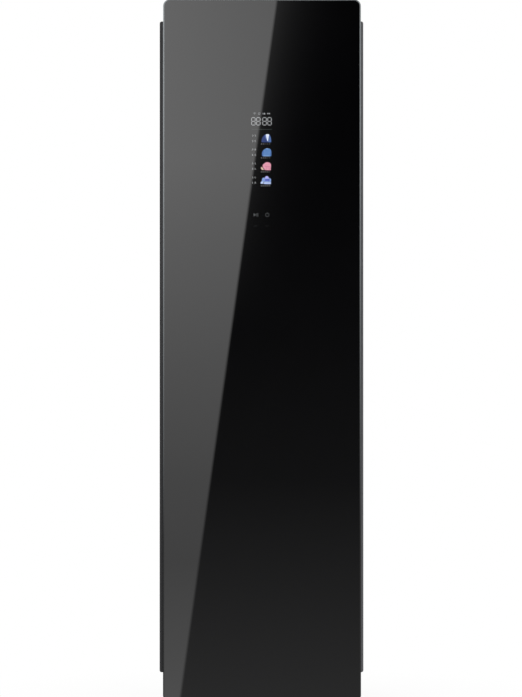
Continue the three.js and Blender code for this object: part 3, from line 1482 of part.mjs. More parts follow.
// Door liner: a formed sheet with a raised panel that fills out the chamber opening
function doorLiner() {
  const plate = prism(
    rectangle(around(0, coreHalf), [bottomCap.face + pinGap, topCap.face - pinGap], glassCorner),
    'y', doorLinerY, doorBackY,
  );
  const raised = (shrink, y0, y1) => prism(
    rectangle(around(0, panelHalf - shrink), [panelBottom + shrink, panelTop - shrink], panelCorner - shrink),
    'y', y0, y1, { bevel: panelRise - glassBevelDepth - clear },
  );
  const pitch = 2 * (panelHalf - panelFluteSideMargin) / (panelFluteCount - 1);
  const middles = centred(panelFluteCount).map(i => i * pitch);
  const flutes = middles.map(x => block(
    around(x, panelFluteWidth / 2),
    [doorBackY + panelRise - panelFluteDepth, doorBackY + panelRise + overrun],
    [panelBottom + panelFluteMargin, panelTop - panelFluteMargin],
  ));
  return cutBy(plate.add(raised(0, doorLinerY, doorBackY + panelRise)), [
    raised(doorLinerThick, doorLinerY - 2 * overrun, doorBackY + panelRise - doorLinerThick), ...flutes,
  ]);
}
place(door, 'door_liner', doorLiner(), finishes.linerPlastic);

// Door seal: a moulded ring of a base, a narrow neck and a wide soft head
function doorGasket() {
  const middleHalf = gasketOuterHalf - gasketBaseWidth / 2;
  const low = gasketBottom + gasketBaseWidth / 2;
  const high = gasketTop - gasketBaseWidth / 2;
  const loop = (grow, y0, y1) => prism(
    rectangle(around(0, middleHalf + grow), [low - grow, high + grow], gasketCorner + grow), 'y', y0, y1,
  );
  const ring = (ringWidth, y0, y1) => loop(ringWidth / 2, y0, y1)
    .subtract(loop(-ringWidth / 2, y0 - overrun, y1 + overrun));
  const base = doorBackY + clear;
  const head = cabinetFrontY - clear;
  return joined([
    ring(gasketBaseWidth, base, base + gasketBaseThick),
    ring(gasketNeckWidth, base + gasketBaseThick / 2, head - gasketHeadThick / 2),
    ring(gasketHeadWidth, head - gasketHeadThick, head),
  ]);
}
place(door, 'door_gasket', doorGasket(), finishes.sealRubber);

// Edge grips: long anodised strips beside the glass, scooped behind for the fingers
function gripStrip(side) {
  const inner = doorHalf + clear;
  const outer = width / 2;
  const back = frameFrontY + gripDepth;
  const plan = prism(mirrored([
    [inner, frameFrontY], [outer, frameFrontY, gripFrontRound], [outer, back], [inner, back],
  ], side), 'z', gripBottom, gripTop);
  const front = prism(mirrored([
    [inner, gripBottom], [outer, gripBottom, gripEndRound], [outer, gripTop, gripEndRound], [inner, gripTop],
  ], side), 'y', frameFrontY - overrun, back + overrun);
  const scoop = rod(
    gripScoopRadius, gripBottom - overrun, gripTop + overrun,
    [side * (outer + gripScoopRadius - gripScoopInset), back + gripScoopInset - gripFrontRound, 0],
  );
  return plan.intersect(front).subtract(scoop);
}
place(door, 'left_grip_strip', gripStrip(-1), finishes.gripMetal);
place(door, 'right_grip_strip', gripStrip(1), finishes.gripMetal);

export default cabinet;
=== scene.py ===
"""Clothes care steam cabinet: the finish and the fine shape of every piece, and a plain studio."""

import json
import math

import bmesh
import bpy
from mathutils import Matrix, Vector


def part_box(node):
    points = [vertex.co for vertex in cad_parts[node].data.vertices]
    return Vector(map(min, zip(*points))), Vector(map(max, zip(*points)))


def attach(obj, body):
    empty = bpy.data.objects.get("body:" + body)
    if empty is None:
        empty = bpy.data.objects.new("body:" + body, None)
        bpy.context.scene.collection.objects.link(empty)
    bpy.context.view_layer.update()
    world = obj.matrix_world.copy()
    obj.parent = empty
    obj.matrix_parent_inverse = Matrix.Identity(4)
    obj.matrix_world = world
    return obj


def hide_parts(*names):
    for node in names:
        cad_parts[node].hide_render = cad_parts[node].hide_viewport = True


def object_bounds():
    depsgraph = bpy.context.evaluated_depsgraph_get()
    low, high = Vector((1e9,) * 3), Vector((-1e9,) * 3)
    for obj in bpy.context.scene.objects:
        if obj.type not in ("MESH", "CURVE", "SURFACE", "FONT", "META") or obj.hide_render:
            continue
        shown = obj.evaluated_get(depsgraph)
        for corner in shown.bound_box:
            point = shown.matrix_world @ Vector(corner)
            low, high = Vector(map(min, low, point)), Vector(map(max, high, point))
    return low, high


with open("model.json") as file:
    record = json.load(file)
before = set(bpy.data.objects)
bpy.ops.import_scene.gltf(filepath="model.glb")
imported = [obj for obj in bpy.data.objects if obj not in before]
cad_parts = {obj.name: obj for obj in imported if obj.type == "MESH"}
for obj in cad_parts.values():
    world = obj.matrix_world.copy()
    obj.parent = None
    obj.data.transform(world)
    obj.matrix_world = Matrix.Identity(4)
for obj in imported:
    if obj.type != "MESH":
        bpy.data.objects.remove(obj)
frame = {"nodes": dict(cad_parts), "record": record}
nodes = frame["nodes"]
cad_low, cad_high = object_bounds()
scene = bpy.context.scene
scene.view_settings.view_transform = "Standard"

# The view in the photograph
# A long lens stands far off, square to the door and level with its middle, so that the door's
# sides run upright. The frame cuts the cabinet at its top edge and just above its feet.
PHOTO_HEIGHT_PX = 697
PHOTO_CENTRE_PX = (261.0, 348.5)
DOOR_MIDDLE_PX = 261.5
GLASS_TOP_PX = -0.9
METRES_PER_PX = 0.0026
VIEW_DISTANCE = 8.0
VIEW_TILT = math.radians(0.4)
SENSOR_LONG_SIDE = 36.0

door_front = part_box("door_glass")[0].y
top_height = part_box("door_glass")[1].z
aim = Vector((
    (PHOTO_CENTRE_PX[0] - DOOR_MIDDLE_PX) * METRES_PER_PX, door_front,
    top_height - (PHOTO_CENTRE_PX[1] - GLASS_TOP_PX) * METRES_PER_PX,
))
line_of_sight = Vector((0, math.cos(VIEW_TILT), math.sin(VIEW_TILT)))
camera_data = bpy.data.cameras.new("photo_camera")
camera_data.sensor_width = SENSOR_LONG_SIDE
camera_data.lens = SENSOR_LONG_SIDE * VIEW_DISTANCE / (PHOTO_HEIGHT_PX * METRES_PER_PX)
camera = bpy.data.objects.new("photo_camera", camera_data)
camera.location = aim - VIEW_DISTANCE * line_of_sight
camera.rotation_euler = (math.pi / 2 + VIEW_TILT, 0, 0)
scene.collection.objects.link(camera)
scene.camera = camera


# The studio
# A pale floor and an even white world light the cabinet from all sides. In front of it hangs
# a tall reflector card that only glossy surfaces see: a bright board with a slanted edge beside
# a black flag, which the mirror glass shows as its slanted band of light.
def colour(hex_text):
    """An sRGB hex value as a linear RGBA colour."""
    channels = [int(hex_text[i:i + 2], 16) / 255 for i in (0, 2, 4)]
    return (*(c / 12.92 if c <= 0.04045 else ((c + 0.055) / 1.055) ** 2.4 for c in channels), 1.0)


def add_node(tree, kind, inputs=None, **settings):
    """Adds a node, makes its settings and fills its inputs, by name or by place. An input takes a
    value, an output, a node, which stands for its first output in use, or a list of them. A
    tuple that holds an output or a node is joined to a vector."""
    sources = (bpy.types.Node, bpy.types.NodeSocket)
    node = tree.nodes.new(kind)
    for key, value in settings.items():
        setattr(node, key, value)
    for key, value in (inputs or {}).items():
        socket = next((s for s in node.inputs if s.identifier == key), None) or node.inputs[key]
        for item in value if isinstance(value, list) else [value]:
            if isinstance(item, tuple) and any(isinstance(part, sources) for part in item):
                item = add_node(tree, "ShaderNodeCombineXYZ", dict(enumerate(item)))
            if isinstance(item, bpy.types.Node):
                item = next(output for output in item.outputs if output.enabled)
            if isinstance(item, bpy.types.NodeSocket):
                tree.links.new(item, socket)
            else:
                socket.default_value = item
    return node


def empty_material(name):
    """A material whose node tree holds nothing yet."""
    material = bpy.data.materials.new(name)
    material.use_nodes = True
    material.node_tree.nodes.clear()
    return material, material.node_tree


def link_object(name, mesh, *materials):
    """A new object at the origin that shows a mesh in the given materials."""
    piece = bpy.data.objects.new(name, mesh)
    scene.collection.objects.link(piece)
    for material in materials:
        mesh.materials.append(material)
    return piece


def mesh_from(name, points, faces=()):
    """A mesh from corner points and faces."""
    mesh = bpy.data.meshes.new(name)
    mesh.from_pydata(points, [], faces)
    mesh.update()
    return mesh


def studio_sheet(name, corners, material):
    """A flat four-cornered sheet of the studio."""
    sheet = link_object(name, mesh_from(name, corners, [(0, 1, 2, 3)]), material)
    return sheet


FLOOR_HALF = 14.0
FLOOR_COLOUR = "ececec"
FLOOR_NEAR = 0.25
FLOOR_FAR = 0.9
FLOOR_NEAR_WHITE_SHARE = 0.93
WORLD_SOFT_STRENGTH = 0.72

floor_material, tree = empty_material("studio_floor_paper")
rays = add_node(tree, "ShaderNodeLightPath").outputs
paper = add_node(tree, "ShaderNodeBsdfDiffuse", {"Color": colour(FLOOR_COLOUR)})
white = add_node(tree, "ShaderNodeEmission", {"Color": colour("ffffff"), "Strength": 1.0})
place = add_node(tree, "ShaderNodeTexCoord").outputs["Object"]
reach = add_node(tree, "ShaderNodeVectorMath", {0: place}, operation="LENGTH")
white_share = add_node(tree, "ShaderNodeMapRange", {
    "Value": reach, "From Min": FLOOR_NEAR, "From Max": FLOOR_FAR, "To Min": FLOOR_NEAR_WHITE_SHARE,
})
seen = add_node(tree, "ShaderNodeMath", {0: rays["Is Camera Ray"], 1: white_share}, operation="MULTIPLY")
surface = add_node(tree, "ShaderNodeMixShader", {0: seen, 1: paper, 2: white})
add_node(tree, "ShaderNodeOutputMaterial", {"Surface": surface})
floor = studio_sheet("studio_floor", [
    (-FLOOR_HALF, -FLOOR_HALF, 0), (FLOOR_HALF, -FLOOR_HALF, 0),
    (FLOOR_HALF, FLOOR_HALF, 0), (-FLOOR_HALF, FLOOR_HALF, 0),
], floor_material)
floor.visible_glossy = False

world = bpy.data.worlds.new("studio_world")
scene.world = world
world.use_nodes = True
tree = world.node_tree
tree.nodes.clear()
rays = add_node(tree, "ShaderNodeLightPath").outputs
clear_rays = rays["Is Camera Ray"]
for kind in ("Is Glossy Ray", "Is Transmission Ray"):
    clear_rays = add_node(tree, "ShaderNodeMath", {0: clear_rays, 1: rays[kind]}, operation="MAXIMUM")
strength = add_node(tree, "ShaderNodeMapRange", {"Value": clear_rays, "To Min": WORLD_SOFT_STRENGTH})
background = add_node(tree, "ShaderNodeBackground", {"Color": colour("ffffff"), "Strength": strength})
add_node(tree, "ShaderNodeOutputWorld", {"Surface": background})

# Each lamp's place, size in metres and power in watts.
LAMPS = {
    "key_lamp": ((-3.4, -4.2, 3.6), 2.4, 95.0),
    "fill_lamp": ((4.0, -2.6, 2.4), 2.8, 45.0),
    "back_lamp": ((-1.5, 4.4, 3.4), 2.6, 60.0),
}
LAMP_AIM = Vector((0, 0, 1.0))
for name, (place, size, power) in LAMPS.items():
    lamp_data = bpy.data.lights.new(name, "AREA")
    lamp_data.size = size
    lamp_data.energy = power
    lamp = bpy.data.objects.new(name, lamp_data)
    lamp.location = place
    lamp.rotation_euler = (LAMP_AIM - lamp.location).to_track_quat("-Z", "Y").to_euler()
    lamp.visible_glossy = False
    scene.collection.objects.link(lamp)

# What the glass shows of the card, by height on the door: grey levels of the bright board and of
# the flag, and the slanted edge between them, given where they lie on the glass.
EDGE_TOP_X = 0.0402
EDGE_BOTTOM_X = -0.2108
EDGE_SOFTNESS = 0.0035
CARD_BEHIND_CAMERA = 0.4
CARD_HALF_WIDTH = 3.2
CARD_PLAIN_LEFT = -2.6
CARD_PLAIN_RIGHT = 1.1
CARD_LOW = -3.4
CARD_HIGH = 6.2
GLASS_IOR = 1.55
GLASS_REFLECTANCE = ((GLASS_IOR - 1) / (GLASS_IOR + 1)) ** 2
BOARD_LEVELS = [(0.04, "4d"), (0.19, "47"), (0.39, "40"), (0.60, "44"), (0.91, "4f"),
                (1.23, "5b"), (1.43, "63"), (1.80, "64")]
FLAG_LEVELS = [(0.04, "28"), (0.29, "1f"), (0.39, "1b"), (0.60, "11"), (0.91, "0b"), (1.23, "06"),
               (1.50, "03")]
BOARD_FADE_FROM = 0.7
BOARD_FADE_SHARE = 0.2
SPILL_LEVEL = "23"
SPILL_REACH = 0.052
SPILL_FROM = 1.0

card_y = camera.location.y - CARD_BEHIND_CAMERA
glass_distance = VIEW_DISTANCE * math.cos(VIEW_TILT)
card_scale = (2 * glass_distance + CARD_BEHIND_CAMERA) / glass_distance
edge_width = EDGE_SOFTNESS * card_scale


def on_card(x, z):
    """Where the card's plane is seen from the camera in the glass at x, z on the door."""
    return (
        camera.location.x + (x - camera.location.x) * card_scale,
        camera.location.z + (z - camera.location.z) * card_scale,
    )


def radiance(level):
    """What the card gives off to show as a hex grey level in the glass."""
    return colour(level * 3)[0] / GLASS_REFLECTANCE


def grey_ramp(tree, levels, value):
    """Grey radiances over the card's height, from hex levels on the glass."""
    ramp = add_node(tree, "ShaderNodeValToRGB", {"Fac": value})
    elements = ramp.color_ramp.elements
    elements.remove(elements[1])
    for i, (z, level) in enumerate(levels):
        place = (on_card(0, z)[1] - CARD_LOW) / (CARD_HIGH - CARD_LOW)
        element = elements[0] if i == 0 else elements.new(place)
        element.position = place
        element.color = (*[radiance(level)] * 3, 1.0)
    return ramp


card_material, tree = empty_material("studio_reflector_card")
place = add_node(tree, "ShaderNodeTexCoord").outputs["Object"]
card_x, _, card_z = add_node(tree, "ShaderNodeSeparateXYZ", {0: place}).outputs
height_share = add_node(tree, "ShaderNodeMapRange", {
    "Value": card_z, "From Min": CARD_LOW, "From Max": CARD_HIGH,
})
top_x, top_z = on_card(EDGE_TOP_X, top_height)
bottom_x, bottom_z = on_card(EDGE_BOTTOM_X, top_height - PHOTO_HEIGHT_PX * METRES_PER_PX)
slope = (top_x - bottom_x) / (top_z - bottom_z)
edge_x = add_node(tree, "ShaderNodeMath", {
    0: card_z, 1: slope, 2: bottom_x - slope * bottom_z,
}, operation="MULTIPLY_ADD")
beside = add_node(tree, "ShaderNodeMath", {0: card_x, 1: edge_x}, operation="SUBTRACT")
side = add_node(tree, "ShaderNodeMapRange", {
    "Value": beside, "From Min": -edge_width, "From Max": edge_width,
})

# Towards its slanted edge the board fades a little, and its light spills past the edge onto
# the flag, both more and more towards the top.
high_up = add_node(tree, "ShaderNodeMapRange", {
    "Value": card_z, "From Min": on_card(0, BOARD_FADE_FROM)[1], "From Max": top_z,
})
inwards = add_node(tree, "ShaderNodeMapRange", {
    "Value": card_x, "From Min": on_card(cad_low.x, 0)[0], "From Max": top_x, "To Max": BOARD_FADE_SHARE,
})
lost = add_node(tree, "ShaderNodeMath", {0: high_up, 1: inwards}, operation="MULTIPLY")
board = add_node(tree, "ShaderNodeMix", {
    "Factor_Float": lost, "A_Color": grey_ramp(tree, BOARD_LEVELS, height_share),
    "B_Color": colour("000000"),
}, data_type="RGBA")
falling = add_node(tree, "ShaderNodeMath", {
    0: beside, 1: -1 / (SPILL_REACH * card_scale),
}, operation="MULTIPLY")
nearness = add_node(tree, "ShaderNodeMath", {0: falling}, operation="EXPONENT")
spill_strength = add_node(tree, "ShaderNodeMapRange", {
    "Value": card_z, "From Min": on_card(0, SPILL_FROM)[1], "From Max": top_z,
    "To Max": radiance(SPILL_LEVEL),
})
spill = add_node(tree, "ShaderNodeMath", {0: nearness, 1: spill_strength}, operation="MULTIPLY")
flag = add_node(tree, "ShaderNodeVectorMath", {
    0: grey_ramp(tree, FLAG_LEVELS, height_share), 1: spill,
}, operation="ADD")
shown = add_node(tree, "ShaderNodeMix", {
    "Factor_Float": side, "A_Color": board, "B_Color": flag,
}, data_type="RGBA")
left_fade, right_fade = [
    add_node(tree, "ShaderNodeMapRange", {"Value": card_x, "From Min": plain, "From Max": end})
    for plain, end in ((CARD_PLAIN_LEFT, -CARD_HALF_WIDTH), (CARD_PLAIN_RIGHT, CARD_HALF_WIDTH))
]
fade = add_node(tree, "ShaderNodeMath", {0: left_fade, 1: right_fade}, operation="MAXIMUM")
faded = add_node(tree, "ShaderNodeMix", {
    "Factor_Float": fade, "A_Color": shown, "B_Color": colour("ffffff"),
}, data_type="RGBA")
glow = add_node(tree, "ShaderNodeEmission", {"Color": faded})
add_node(tree, "ShaderNodeOutputMaterial", {"Surface": glow})
card = studio_sheet("studio_reflector_card", [
    (-CARD_HALF_WIDTH, card_y, CARD_LOW), (CARD_HALF_WIDTH, card_y, CARD_LOW),
    (CARD_HALF_WIDTH, card_y, CARD_HIGH), (-CARD_HALF_WIDTH, card_y, CARD_HIGH),
], card_material)
for rays_kind in ("camera", "diffuse", "shadow", "transmission", "volume_scatter"):
    setattr(card, f"visible_{rays_kind}", False)


# Base tray and levelling feet
# The tray is folded and zinc-coated sheet steel with a pressed boss for each foot. The feet are
# moulded pads on threaded studs, screwed up through the bosses.
MM = 0.001
MERGE_DISTANCE = 0.00002
FLAT_ANGLE = math.radians(0.6)
SHALLOW_ANGLE = math.radians(6)
SHARP_ANGLE = math.radians(32)
BEND_STEPS = 3
body_of = {
    node: body for body, members in frame["record"]["behaviour"]["bodies"].items() for node in members
}


def whole_faces(node, bend=0.0):
    """A copy of a part's surface with its doubles merged, its flat faces in one piece, and its
    shallow bends rounded by a width in metres, so that round corners run round."""
    mesh = nodes[node].data.copy()
    mesh.name = f"{node}_finished"
    mesh.materials.clear()
    surface = bmesh.new()
    surface.from_mesh(mesh)
    bmesh.ops.remove_doubles(surface, verts=surface.verts, dist=MERGE_DISTANCE)
    bmesh.ops.dissolve_limit(surface, angle_limit=FLAT_ANGLE, verts=surface.verts, edges=surface.edges)
    bends = [
        edge for edge in surface.edges
        if bend and edge.is_manifold and SHALLOW_ANGLE < edge.calc_face_angle() < SHARP_ANGLE
    ]
    if bends:
        bmesh.ops.bevel(
            surface, geom=bends, offset=bend, segments=BEND_STEPS, profile=0.5, affect="EDGES",
            clamp_overlap=True,
        )
    surface.to_mesh(mesh)
    surface.free()
    return mesh


def round_edges(piece, width, segments=2):
    """Rounds a piece's sharp edges by a width in metres and shades its curves smoothly."""
    piece.data.shade_smooth()
    bevel = piece.modifiers.new("edge_rounding", "BEVEL")
    bevel.width = width
    bevel.segments = segments
    bevel.limit_method = "ANGLE"
    bevel.angle_limit = SHARP_ANGLE
    bevel.harden_normals = True


def take_place(node, mesh, material, edge, segments=2):
    """Puts a finer mesh in a part's place, on the part's own body, with its edges rounded."""
    piece = link_object(f"{node}_finished", mesh, material)
    round_edges(piece, edge, segments)
    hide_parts(node)
    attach(piece, body_of[node])


def refine(node, material, edge, segments=2, bend=0.0):
    """Puts a finely edged copy of a part in its place."""
    take_place(node, whole_faces(node, bend), material, edge, segments)


def in_metres(pairs_mm, rise=0.0):
    """Radius and height pairs in mm as metres, raised to a starting height."""
    return [(wide * MM, rise + tall * MM) for wide, tall in pairs_mm]


def turned_mesh(name, profile, centre, axis="Z", segments=64):
    """A closed turned solid from radius and height pairs, low end first, round an upright or X axis."""
    points, faces, rings = [], [], []
    for radius, height in profile:
        rings.append([])
        for i in range(segments if radius > 0 else 1):
            angle = math.tau * i / segments
            across = (radius * math.cos(angle), radius * math.sin(angle))
            place = (*across, height) if axis == "Z" else (height, *across)
            rings[-1].append(len(points))
            points.append(Vector(centre) + Vector(place))
    for low, high in zip(rings, rings[1:]):
        for i in range(segments):
            j = (i + 1) % segments
            corners = [low[i % len(low)], low[j % len(low)], high[j % len(high)], high[i % len(high)]]
            faces.append(list(dict.fromkeys(corners)))
    return mesh_from(name, points, faces)


def joined_mesh(name, *meshes):
    """One mesh that holds the shells of several, each closed and facing outwards."""
    shells = bmesh.new()
    for mesh in meshes:
        shells.from_mesh(mesh)
    bmesh.ops.remove_doubles(shells, verts=shells.verts, dist=MERGE_DISTANCE)
    bmesh.ops.recalc_face_normals(shells, faces=shells.faces)
    whole = bpy.data.meshes.new(name)
    shells.to_mesh(whole)
    shells.free()
    return whole


SIZE_SOCKETS = {int: "NodeSocketInt", float: "NodeSocketFloat"}


def sized_tree(name, sizes):
    """A geometry node tree with a named input for each size, and those inputs by name."""
    tree = bpy.data.node_groups.new(name, "GeometryNodeTree")
    kinds = {label: SIZE_SOCKETS[type(value)] for label, value in sizes.items()}
    for label, kind in {"Geometry": "NodeSocketGeometry", **kinds, "Finish": "NodeSocketMaterial"}.items():
        tree.interface.new_socket(label, in_out="INPUT", socket_type=kind)
    tree.interface.new_socket("Geometry", in_out="OUTPUT", socket_type="NodeSocketGeometry")
    return tree, add_node(tree, "NodeGroupInput").outputs


def end_tree(tree, size, result):
    """Makes the instances real and gives them the finish that comes in."""
    real = add_node(tree, "GeometryNodeRealizeInstances", {"Geometry": result})
    dressed = add_node(tree, "GeometryNodeSetMaterial", {"Geometry": real, "Material": size["Finish"]})
    add_node(tree, "NodeGroupOutput", {0: dressed})


def made_real(thing):
    """The mesh that an object shows once its modifiers and curves are worked out."""
    return bpy.data.meshes.new_from_object(thing.evaluated_get(bpy.context.evaluated_depsgraph_get()))


def grown_piece(name, start, tree, sizes, material, node):
    """Runs a tree on a starting mesh and leaves a plain mesh that rides on a part's body."""
    piece = link_object(name, start, material)
    grower = piece.modifiers.new(name, "NODES")
    grower.node_group = tree
    values = {**sizes, "Finish": material}
    for item in tree.interface.items_tree:
        if item.in_out == "INPUT" and item.name in values:
            grower[item.identifier] = values[item.name]
    grown = made_real(piece)
    piece.modifiers.remove(grower)
    piece.data = grown
    grown.materials.clear()
    grown.materials.append(material)
    grown.polygons.foreach_set("material_index", [0] * len(grown.polygons))
    grown.shade_smooth()
    grown.set_sharp_from_angle(angle=SHARP_ANGLE)
    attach(piece, body_of[node])
    return piece


def pattern_space(tree, size_mm, stretch=(1, 1, 1)):
    """Object coordinates scaled so that one unit of a pattern is size_mm on the piece."""
    place = add_node(tree, "ShaderNodeTexCoord").outputs["Object"]
    scale = tuple(1 / (size_mm * MM * factor) for factor in stretch)
    return add_node(tree, "ShaderNodeMapping", {"Vector": place, "Scale": scale})


def soft_pattern(tree, size_mm, detail=2.0, grit=0.5, stretch=(1, 1, 1)):
    """A soft random pattern whose unit is size_mm on the piece."""
    return add_node(tree, "ShaderNodeTexNoise", {
        "Vector": pattern_space(tree, size_mm, stretch), "Scale": 1.0, "Detail": detail, "Roughness": grit,
    })


def end_material(material, tree, tones, roughness, relief=None, optics=None):
    """Ends a material. Its tones are a pattern and the two sRGB colours that it mixes, its
    roughness is a number, or a pattern and two numbers, and its relief is a pattern, a strength
    and a depth in mm."""
    tint, low, high = tones
    base = add_node(tree, "ShaderNodeMix", {
        "Factor_Float": tint, "A_Color": colour(low), "B_Color": colour(high),
    }, data_type="RGBA")
    if isinstance(roughness, tuple):
        gloss, smooth, rough = roughness
        roughness = add_node(tree, "ShaderNodeMapRange", {"Value": gloss, "To Min": smooth, "To Max": rough})
    inputs = {"Base Color": base, "Roughness": roughness, **(optics or {})}
    if relief:
        height, strength, depth_mm = relief
        inputs["Normal"] = add_node(tree, "ShaderNodeBump", {
            "Height": height, "Strength": strength, "Distance": depth_mm * MM,
        })
    shader = add_node(tree, "ShaderNodeBsdfPrincipled", inputs)
    add_node(tree, "ShaderNodeOutputMaterial", {"Surface": shader})
    return material


def grained(name, low, high, grain_mm, roughness, relief=None, drift_mm=None, optics=None, **grain_look):
    """A material from one fine grain, which raises the relief, moves the roughness between two
    values where it has two, and tints the colour, unless a wider drift tints it instead."""
    material, tree = empty_material(name)
    grain = soft_pattern(tree, grain_mm, **grain_look)
    tint = soft_pattern(tree, drift_mm) if drift_mm else grain
    if isinstance(roughness, tuple):
        roughness = (grain, *roughness)
    if relief:
        relief = (grain, *relief)
    return end_material(material, tree, (tint, low, high), roughness, relief, optics)


def zinc_coated_steel(name, low, high, spangle_mm):
    """Hot-dip zinc: bright crystals of many sizes, each with its own grey and gloss."""
    material, tree = empty_material(name)
    crystals = add_node(tree, "ShaderNodeTexVoronoi", {
        "Vector": pattern_space(tree, spangle_mm), "Randomness": 1.0,
    })
    grey, gloss, _ = add_node(tree, "ShaderNodeSeparateColor", {0: crystals.outputs["Color"]}).outputs
    fine = soft_pattern(tree, spangle_mm / 5, detail=3.0)
    return end_material(
        material, tree, (grey, low, high), (gloss, 0.38, 0.48), relief=(fine, 0.12, 0.1),
        optics={"Metallic": 1.0},
    )


def moulded_plastic(name, low, high, grain_mm, roughness):
    """Injection-moulded plastic with the fine grain of a spark-eroded mould and a faint flow tone.
    The grain is drawn coarser than a real one, so that it shows."""
    return grained(
        name, low, high, grain_mm, (roughness - 0.05, roughness + 0.05), relief=(0.5, 0.02),
        drift_mm=FLOW_TONE_MM, grit=0.6, optics={"IOR": PLASTIC_IOR},
    )


FLOW_TONE_MM = 140
PLASTIC_IOR = 1.5
TRAY_EDGE = 0.4 * MM
FOOT_EDGE = 0.9 * MM
FOOT_ROUND_SHARES = ((0.0, 0.0), (1.0, 0.0), (1.0, 0.56), (0.9, 0.86), (0.8, 1.0))
FOOT_PAD_HEIGHT = 14 * MM
FOOT_STUD_RADIUS = 5 * MM

zinc_sheet = zinc_coated_steel("zinc_coated_sheet_steel", "999c9e", "a3a6a8", spangle_mm=6.0)
foot_plastic = moulded_plastic("moulded_black_polyamide", "1c1c1e", "262629", grain_mm=0.9, roughness=0.5)

rib_sizes = {
    "Rib Count": 36, "Pad Radius": 17.8 * MM, "Rib Width": 1.5 * MM, "Rib Depth": 1.2 * MM,
    "Rib Height": 5.6 * MM, "Rib Middle": 4.2 * MM,
}
rib_tree, size = sized_tree("foot_grip_ribs", rib_sizes)
rib_ring = add_node(rib_tree, "GeometryNodeMeshCircle", {
    "Vertices": size["Rib Count"], "Radius": size["Pad Radius"],
})
place = add_node(rib_tree, "GeometryNodeInputPosition")
facing = add_node(rib_tree, "FunctionNodeAlignRotationToVector", {"Vector": place}, axis="X")
rib = add_node(rib_tree, "GeometryNodeMeshCube", {
    "Size": (size["Rib Depth"], size["Rib Width"], size["Rib Height"]),
})
ribs = add_node(rib_tree, "GeometryNodeInstanceOnPoints", {
    "Points": rib_ring, "Instance": rib, "Rotation": facing,
})
ribs = add_node(rib_tree, "GeometryNodeTransform", {
    "Geometry": ribs, "Translation": (0, 0, size["Rib Middle"]),
})
end_tree(rib_tree, size, add_node(rib_tree, "GeometryNodeInstanceOnPoints", {
    "Points": size["Geometry"], "Instance": ribs,
}))

refine("base_tray", zinc_sheet, TRAY_EDGE)
for node in ("left_front_foot", "left_back_foot", "right_front_foot", "right_back_foot"):
    low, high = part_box(node)
    foot_radius = (high.x - low.x) / 2
    foot_centre = ((low.x + high.x) / 2, (low.y + high.y) / 2, 0)
    foot_profile = [(foot_radius * wide, FOOT_PAD_HEIGHT * tall) for wide, tall in FOOT_ROUND_SHARES]
    foot_profile += [(FOOT_STUD_RADIUS, FOOT_PAD_HEIGHT), (FOOT_STUD_RADIUS, high.z), (0, high.z)]
    foot_mesh = turned_mesh(f"{node}_turned", foot_profile, foot_centre)
    take_place(node, foot_mesh, foot_plastic, FOOT_EDGE, segments=3)
    grown_piece(
        f"{node}_ribs", mesh_from(f"{node}_centre", [foot_centre]), rib_tree, rib_sizes, foot_plastic, node,
    )


# Machine space
# Behind the tanks stand the compressor and finned exchanger of the drying circuit, the blower,
# the steam generator with its hose, the water pump and the control box, all on the tray.
def brushed_metal(name, low, high, stroke_mm, stretch, roughness):
    """Metal with fine strokes along one direction, left by brushing, drawing or turning. The
    strokes are drawn wider than real ones, so that they show."""
    return grained(
        name, low, high, stroke_mm, (roughness - 0.06, roughness + 0.06), relief=(0.4, 0.01),
        detail=3.0, grit=0.7, stretch=stretch, optics={"Metallic": 1.0},
    )


def soft_rubber(name, low, high):
    """Extruded rubber: matt, with a dusty bloom and a drag grain drawn coarse enough to show."""
    return grained(
        name, low, high, RUBBER_GRAIN_MM, 0.72, relief=(0.4, 0.05), drift_mm=RUBBER_BLOOM_MM, detail=3.0,
        optics={"IOR": PLASTIC_IOR, "Sheen Weight": 0.15, "Sheen Roughness": 0.5},
    )


RUBBER_GRAIN_MM = 0.8
RUBBER_BLOOM_MM = 45
EXCHANGER_EDGE = 0.15 * MM
BUSH_EDGE = 0.3 * MM
HOUSING_EDGE = 0.8 * MM

dark_plastic = moulded_plastic("moulded_charcoal_abs", "222326", "2b2c30", grain_mm=0.9, roughness=0.48)
bush_plastic = moulded_plastic("moulded_natural_acetal", "c9cac6", "d8d8d4", grain_mm=1.2, roughness=0.35)
fin_metal = brushed_metal("drawn_aluminium_fins", "a4a8ab", "c0c3c6", 0.6, (1, 1, 14), 0.36)
hose_rubber = soft_rubber("extruded_grey_silicone", "8b8d8a", "a2a39f")

refine("heat_exchanger", fin_metal, EXCHANGER_EDGE, segments=1)
refine("blower_housing", dark_plastic, HOUSING_EDGE)
refine("blower_wheel", dark_plastic, BUSH_EDGE, segments=1)
refine("steam_hose", hose_rubber, BUSH_EDGE, segments=1)
refine("control_box", bush_plastic, HOUSING_EDGE)


